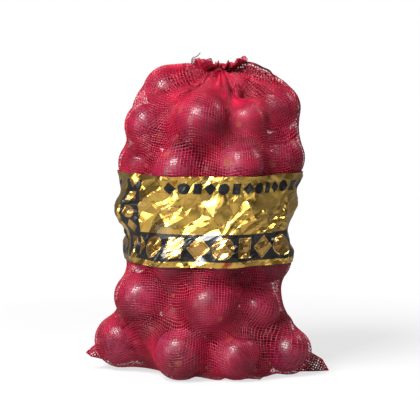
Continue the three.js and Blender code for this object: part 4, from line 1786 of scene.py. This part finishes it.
@dataclass
class FilmBand:
    """The band of film, pulled tight over the net and crinkled."""

    skin: np.ndarray
    heights: np.ndarray
    packing: Packing
    low: float = 130
    high: float = 231
    gap: float = 1.0
    thickness: float = 0.25
    columns: int = 480
    rows: int = 100
    rounds: int = 220
    tightness: float = 0.85
    # The crumples: height, distance between creases, seed, ways that they run, and how level.
    crumples: tuple[tuple[float, ...], ...] = (
        (2.3, 46, 5, 4, 1.8),
        (1.5, 23, 9, 4, 1.8),
        (0.5, 11, 14, 5, 1.4),
    )

    def tight(self) -> tuple[np.ndarray, np.ndarray, np.ndarray]:
        """Pulls the film tight over the net.

        Returns:
            The heights, the bearings and the film's reach from the bag's middle line.
        """
        z = np.linspace(self.low, self.high, self.rows)
        angle = np.arange(self.columns) * FULL_TURN / self.columns
        wall = [i for i, each in enumerate(self.heights) if self.low - 3 < each < self.high + 3]
        grid = self.skin[wall]
        middle = np.array([self.packing.spine_x(each) for each in self.heights[wall]])
        reach = np.hypot(grid[..., 0] - middle[:, None], grid[..., 1])
        turns = np.arange(reach.shape[1] + 1) * FULL_TURN / reach.shape[1]
        round_it = np.array([np.interp(angle, turns, np.append(row, row[0])) for row in reach])
        net = np.array([np.interp(z, self.heights[wall], column) for column in round_it.T]).T
        least = net + self.gap
        film = least.copy()
        bend = math.cos(FULL_TURN / self.columns)
        for _ in range(self.rounds):
            inverse = 1 / film
            around = 2 * bend / (np.roll(inverse, 1, 1) + np.roll(inverse, -1, 1))
            padded = np.pad(film, ((1, 1), (0, 0)), mode="edge")
            up = (padded[:-2] + padded[2:]) / 2
            film = np.maximum(lerp(up, around, self.tightness), least)
        return z, angle, film

    def place(self, z: np.ndarray, angle: np.ndarray, reach: np.ndarray) -> np.ndarray:
        """Points at a reach from the bag's middle line.

        Args:
            z: Heights.
            angle: Bearings round the line, in radians.
            reach: How far out from it.

        Returns:
            Points in mm.
        """
        heights = np.linspace(self.low - 10, self.high + 9, 25)
        middle = np.interp(z, heights, [self.packing.spine_x(each) for each in heights])
        return np.stack([middle + reach * np.cos(angle), reach * np.sin(angle), z], -1)

    def crinkle(self, points: np.ndarray) -> np.ndarray:
        """How far the crinkled film stands off its tight shape."""
        crumpled = sum(height * creases(points, *rest) for height, *rest in self.crumples)
        return crumpled + 0.8 * swell(points, 60, 17)

    def build(self) -> tuple[bpy.types.Object, float]:
        """Makes the band.

        Returns:
            The piece and its length round the bag in mm.
        """
        z, angle, film = self.tight()
        zz, aa = np.meshgrid(z, angle, indexing="ij")
        tight = self.place(zz, aa, film)
        edge = smoothstep(np.minimum(zz - self.low, self.high - zz), 0, 7)
        film = film + np.maximum(self.crinkle(tight) * lerp(0.45, 1.0, edge) + 0.55, -0.15)
        ring = self.place(np.full_like(angle, z[len(z) // 2]), angle, film[len(z) // 2])
        run = run_length(ring, True)
        front = float(np.interp(1.5 * math.pi, np.append(angle, FULL_TURN), run))
        bpy.ops.object.select_all(action="DESELECT")
        bpy.ops.mesh.primitive_grid_add(x_subdivisions=self.columns, y_subdivisions=self.rows - 1, size=1)
        made = bpy.context.object
        made.name = "film"
        flat = read_points(made)
        u, v = flat[:, 0] + 0.5, flat[:, 1] + 0.5
        where = (front + (u - 0.5) * run[-1]) % run[-1]
        bearing = np.interp(where, run, np.append(angle, FULL_TURN))
        column = bearing / FULL_TURN * self.columns
        reach = read_grid(film[..., None], v * (self.rows - 1), column)[..., 0]
        points = self.place(lerp(self.low, self.high, v), bearing, reach)
        points[:, 2] += 0.35 * swell(points, 45, 23) * (1 - 4 * v * (1 - v))
        write_points(made, metres(points))
        only(made)
        bpy.ops.object.mode_set(mode="EDIT")
        bpy.ops.mesh.select_all(action="SELECT")
        bpy.ops.mesh.remove_doubles(threshold=1e-6)
        bpy.ops.object.mode_set(mode="OBJECT")
        wall = made.modifiers.new("wall", "SOLIDIFY")
        wall.thickness, wall.offset = self.thickness * MM, 1
        bpy.ops.object.modifier_apply(modifier="wall")
        made.data.shade_smooth()
        bpy.ops.object.shade_smooth_by_angle(angle=math.radians(22))
        return made, float(run[-1])


@dataclass
class Drawstring:
    """The cord round the neck, its loose end and the knot on it."""

    diameter: float = 2.2
    ring_radius: float = 9.5
    ring_z: float = 349.2
    centre_x: float = 12
    knot_radius: float = 3.2
    knot_gap: float = 0.3
    route: tuple[tuple[float, ...], ...] = (
        (22.9, 0, 349.4),
        (26, 0, 351),
        (34.5, 0, 354),
        (43.5, 0, 355),
        (52, 0.5, 353),
        (60, 1.5, 349),
        (67.5, 3.5, 345.5),
        (72, 8.5, 340),
        (76, 16, 333),
        (78.5, 24, 326),
        (78, 31, 317),
        (74.5, 36.5, 307.5),
    )

    def ring(self, finish: bpy.types.Material) -> bpy.types.Object:
        """Makes the loop that is drawn round the neck, in and out of the net's pleats.

        Args:
            finish: The cord's material.

        Returns:
            The piece.
        """
        angle = np.arange(96) * FULL_TURN / 96
        radius = self.ring_radius + np.cos(4 * (angle - math.radians(212)))
        z = self.ring_z + 0.6 * np.sin(3 * angle + 1)
        path = np.stack([self.centre_x + radius * np.cos(angle), radius * np.sin(angle), z], -1)
        made = make_tube("drawstring_loop", path, self.diameter / 2 * 0.9, 8, closed=True)
        finish_piece(made, finish, ("drawstring",))
        return made

    def knot(self, centre: np.ndarray, finish: bpy.types.Material) -> bpy.types.Object:
        """Makes the overhand knot, drawn tight: a trefoil of cord that fills a ball.

        Args:
            centre: The ball's centre.
            finish: The cord's material.

        Returns:
            The piece.
        """
        t = np.arange(90) * FULL_TURN / 90
        path = np.stack([np.sin(t) + 2 * np.sin(2 * t), -np.sin(3 * t), np.cos(t) - 2 * np.cos(2 * t)], -1)
        spread, cord = self.knot_radius * 0.235, self.knot_radius * 0.34
        made = make_tube("tail_knot", centre + path * spread, cord, 8, closed=True)
        finish_piece(made, finish)
        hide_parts("drawstring_knot")
        return made

    def tail(self, finish: bpy.types.Material) -> None:
        """Makes the loose end and its knot, and says what they are.

        Args:
            finish: The cord's material.
        """
        path = spline(np.array(self.route, float), 25)
        ahead = unit(path[-1] - path[-2])
        knot = self.knot(path[-1] + ahead * (self.knot_radius + self.knot_gap), finish)
        smooth = spline(np.array(self.route, float), 73)
        piece = make_tube("tail", smooth, self.diameter / 2, 10)
        finish_piece(piece, finish, ("drawstring_tail",))
        length = float(run_length(smooth)[-1]) * MM
        LOG.info("tail: %.4f m long", length)


@dataclass
class LooseYarn:
    """A loose end of sewing yarn that curls up off the frill's left side."""

    radius: float = 0.5
    route: tuple[tuple[float, ...], ...] = (
        (-13, -5, 350.5),
        (-17, -6.5, 353),
        (-20.5, -7.5, 356.5),
        (-20, -8, 360),
        (-16, -8, 361.5),
        (-13, -8.5, 363.8),
        (-11, -8.5, 366.2),
    )

    def build(self, finish: bpy.types.Material) -> bpy.types.Object:
        """Makes the yarn.

        Args:
            finish: The yarn's material.

        Returns:
            The piece.
        """
        made = make_tube("loose_yarn", spline(np.array(self.route, float), 40), self.radius, 6)
        finish_piece(made, finish)
        return made


# ---- Studio ------------------------------------------------------------------


@dataclass
class Studio:
    """The camera at the photo's angle, soft lights, a pale floor and a white room."""

    target: tuple[float, ...] = (0, 0, 186)
    distance: float = 1900
    elevation: float = 6
    lens: float = 141.6
    # Each light's name, degrees round from the front and above the floor, metres away and
    # across, watts, and whether only reflections show it.
    lights: tuple[tuple, ...] = (
        ("key", -40, 44, 1.6, 0.72, 46, False),
        ("panel", -22, 24, 2.0, 1.3, 11, True),
        ("fill", 34, 6, 2.4, 1.2, 5, True),
        ("strip", -58, 8, 1.8, 0.8, 11, True),
        ("rim", 108, 40, 1.5, 0.6, 7, False),
    )
    # The share of their brightness that the room and the floor light the bag with.
    room_glow: float = 0.19
    floor_glow: float = 0.16

    def camera(self) -> None:
        """Makes the camera."""
        data = bpy.data.cameras.new("camera")
        data.lens, data.sensor_width = self.lens, 36
        made = bpy.data.objects.new("camera", data)
        slope = math.radians(self.elevation)
        back = Vector((0, -math.cos(slope), math.sin(slope)))
        made.location = Vector(metres(self.target)) + back * self.distance * MM
        made.rotation_euler = (-back).to_track_quat("-Z", "Y").to_euler()
        bpy.context.scene.collection.objects.link(made)
        bpy.context.scene.camera = made

    def light(
        self,
        name: str,
        bearing: float,
        slope: float,
        distance: float,
        size: float,
        watts: float,
        for_gloss: bool,
    ) -> None:
        """Adds a soft square light, aimed at the middle of the bag.

        Args:
            name: The light's name.
            bearing: Degrees round from the front, to the right.
            slope: Degrees above the floor.
            distance: Metres from the bag.
            size: Metres across.
            watts: Its power.
            for_gloss: Whether only reflections show it.
        """
        data = bpy.data.lights.new(name, "AREA")
        data.size, data.energy = size, watts
        made = bpy.data.objects.new(name, data)
        a, e = math.radians(bearing), math.radians(slope)
        back = Vector((math.sin(a) * math.cos(e), -math.cos(a) * math.cos(e), math.sin(e)))
        made.location = Vector(metres(self.target)) + back * distance
        made.rotation_euler = (-back).to_track_quat("-Z", "Y").to_euler()
        made.visible_diffuse = not for_gloss
        bpy.context.scene.collection.objects.link(made)

    def floor(self) -> None:
        """Lays the floor."""
        bpy.ops.object.select_all(action="DESELECT")
        bpy.ops.mesh.primitive_plane_add(size=14, location=(0, 0, 0))
        made = bpy.context.object
        made.name = "floor"
        g = Graph("floor_paper")
        grain = g.noise(g.place(), 220, 3)
        colour = g.steps(grain, (0.3, (0.86, 0.86, 0.875, 1)), (0.7, (0.90, 0.90, 0.91, 1)))
        away = g.vector("LENGTH", "Value", g.place())
        far = g.node(
            "MapRange", Value=away, From_Min=0.25, From_Max=0.75, interpolation_type="SMOOTHSTEP"
        )
        seen = g.node("LightPath", "Is Camera Ray")
        g.surface(
            Base_Color=g.mix(far, g.mix(0.7, colour, grey(0)), grey(0)),
            Roughness=0.55,
            Specular_IOR_Level=0.2,
            Emission_Color=grey(1),
            Emission_Strength=(far * 0.32 + 0.68) * (seen * (1 - self.floor_glow) + self.floor_glow),
        )
        made.data.materials.append(g.owner)

    def room(self) -> None:
        """Makes the room: white where the camera sees it, softer where it lights the bag."""
        g = WorldGraph("room")
        bpy.context.scene.world = g.owner
        height = g.node("SeparateXYZ", "Y", Vector=g.node("TexCoord", "Generated"))
        ramp = g.steps(g.node("MapRange", Value=height, From_Min=-1), (0.52, grey(0.3)), (0.95, grey(1)))
        glow = g.node("Background", Color=ramp, Strength=self.room_glow)
        seen = g.node("Background", Color=grey(1), Strength=1)
        blend = g.node("MixShader", inputs=(g.node("LightPath", "Is Camera Ray"), glow, seen))
        g.plug(g.output.inputs["Surface"], blend)

    def build(self) -> None:
        """Makes the camera, the lights, the floor and the room."""
        self.camera()
        for each in self.lights:
            self.light(*each)
        self.floor()
        self.room()
        bpy.context.scene.view_settings.view_transform = "Standard"
        LOG.info("studio: camera, %d lights and a floor", len(self.lights))


# ---- The whole ------------------------------------------------------------------


def main() -> None:
    """Builds the bag of onions."""
    logging.basicConfig(level=logging.INFO, format="%(message)s")
    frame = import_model()
    Studio().build()
    cord = BraidedCord().build("cord")
    drawstring = Drawstring()
    drawstring.tail(cord)
    drawstring.ring(cord)
    bag = frame["nodes"]["net_bag"].data
    tree = BVHTree.FromPolygons([v.co[:] for v in bag.vertices], [p.vertices[:] for p in bag.polygons])
    packing = Packing()
    balls = packing.balls()
    inside, sides = Fillers(balls).pack(tree)
    Onions(balls, roots=ROOTS_SHOWN).build(OnionSkin().build("onion_skin"))
    # The small onions get the darker copies of the skin: painted shade deep in the bag and in the gaps at its
    # sides.
    Onions(inside, "onions_inner", 20, 11).build(OnionSkin(**INNER_SKIN_PAINTED_SHADE).build("onion_skin_inner_painted_shade"))
    Onions(sides, "onions_side", 20, 11).build(OnionSkin(**SIDE_SKIN_PAINTED_SHADE).build("onion_skin_side_painted_shade"))
    surface = NetSurface(packing, balls)
    points = surface.settle(tree)
    skin = np.concatenate([points, Gathers(surface.angle).rows()])
    neck_row = len(points) - 1
    thread = NetThread().build("net")
    Weave(skin, int(np.argmin(np.abs(surface.z - WAIST_Z))), neck_row).build(thread)
    shoulder = int(np.argmax(surface.rise > SHOULDER_RISE))
    InnerFold(skin, shoulder, neck_row, "net_inner_fold", 3.4, 61).build(thread)
    InnerFold(skin, shoulder + 3, neck_row, "net_deep_fold", 6.4, 67).build(thread)
    Ears().build(thread)
    LooseYarn().build(YarnFibre().build("yarn"))
    band = FilmBand(points, surface.z, packing)
    film, length = band.build()
    finish_piece(film, GoldFilm(length, band.high - band.low).build("film"), ("film_band",))


if __name__ == "__main__":
    main()
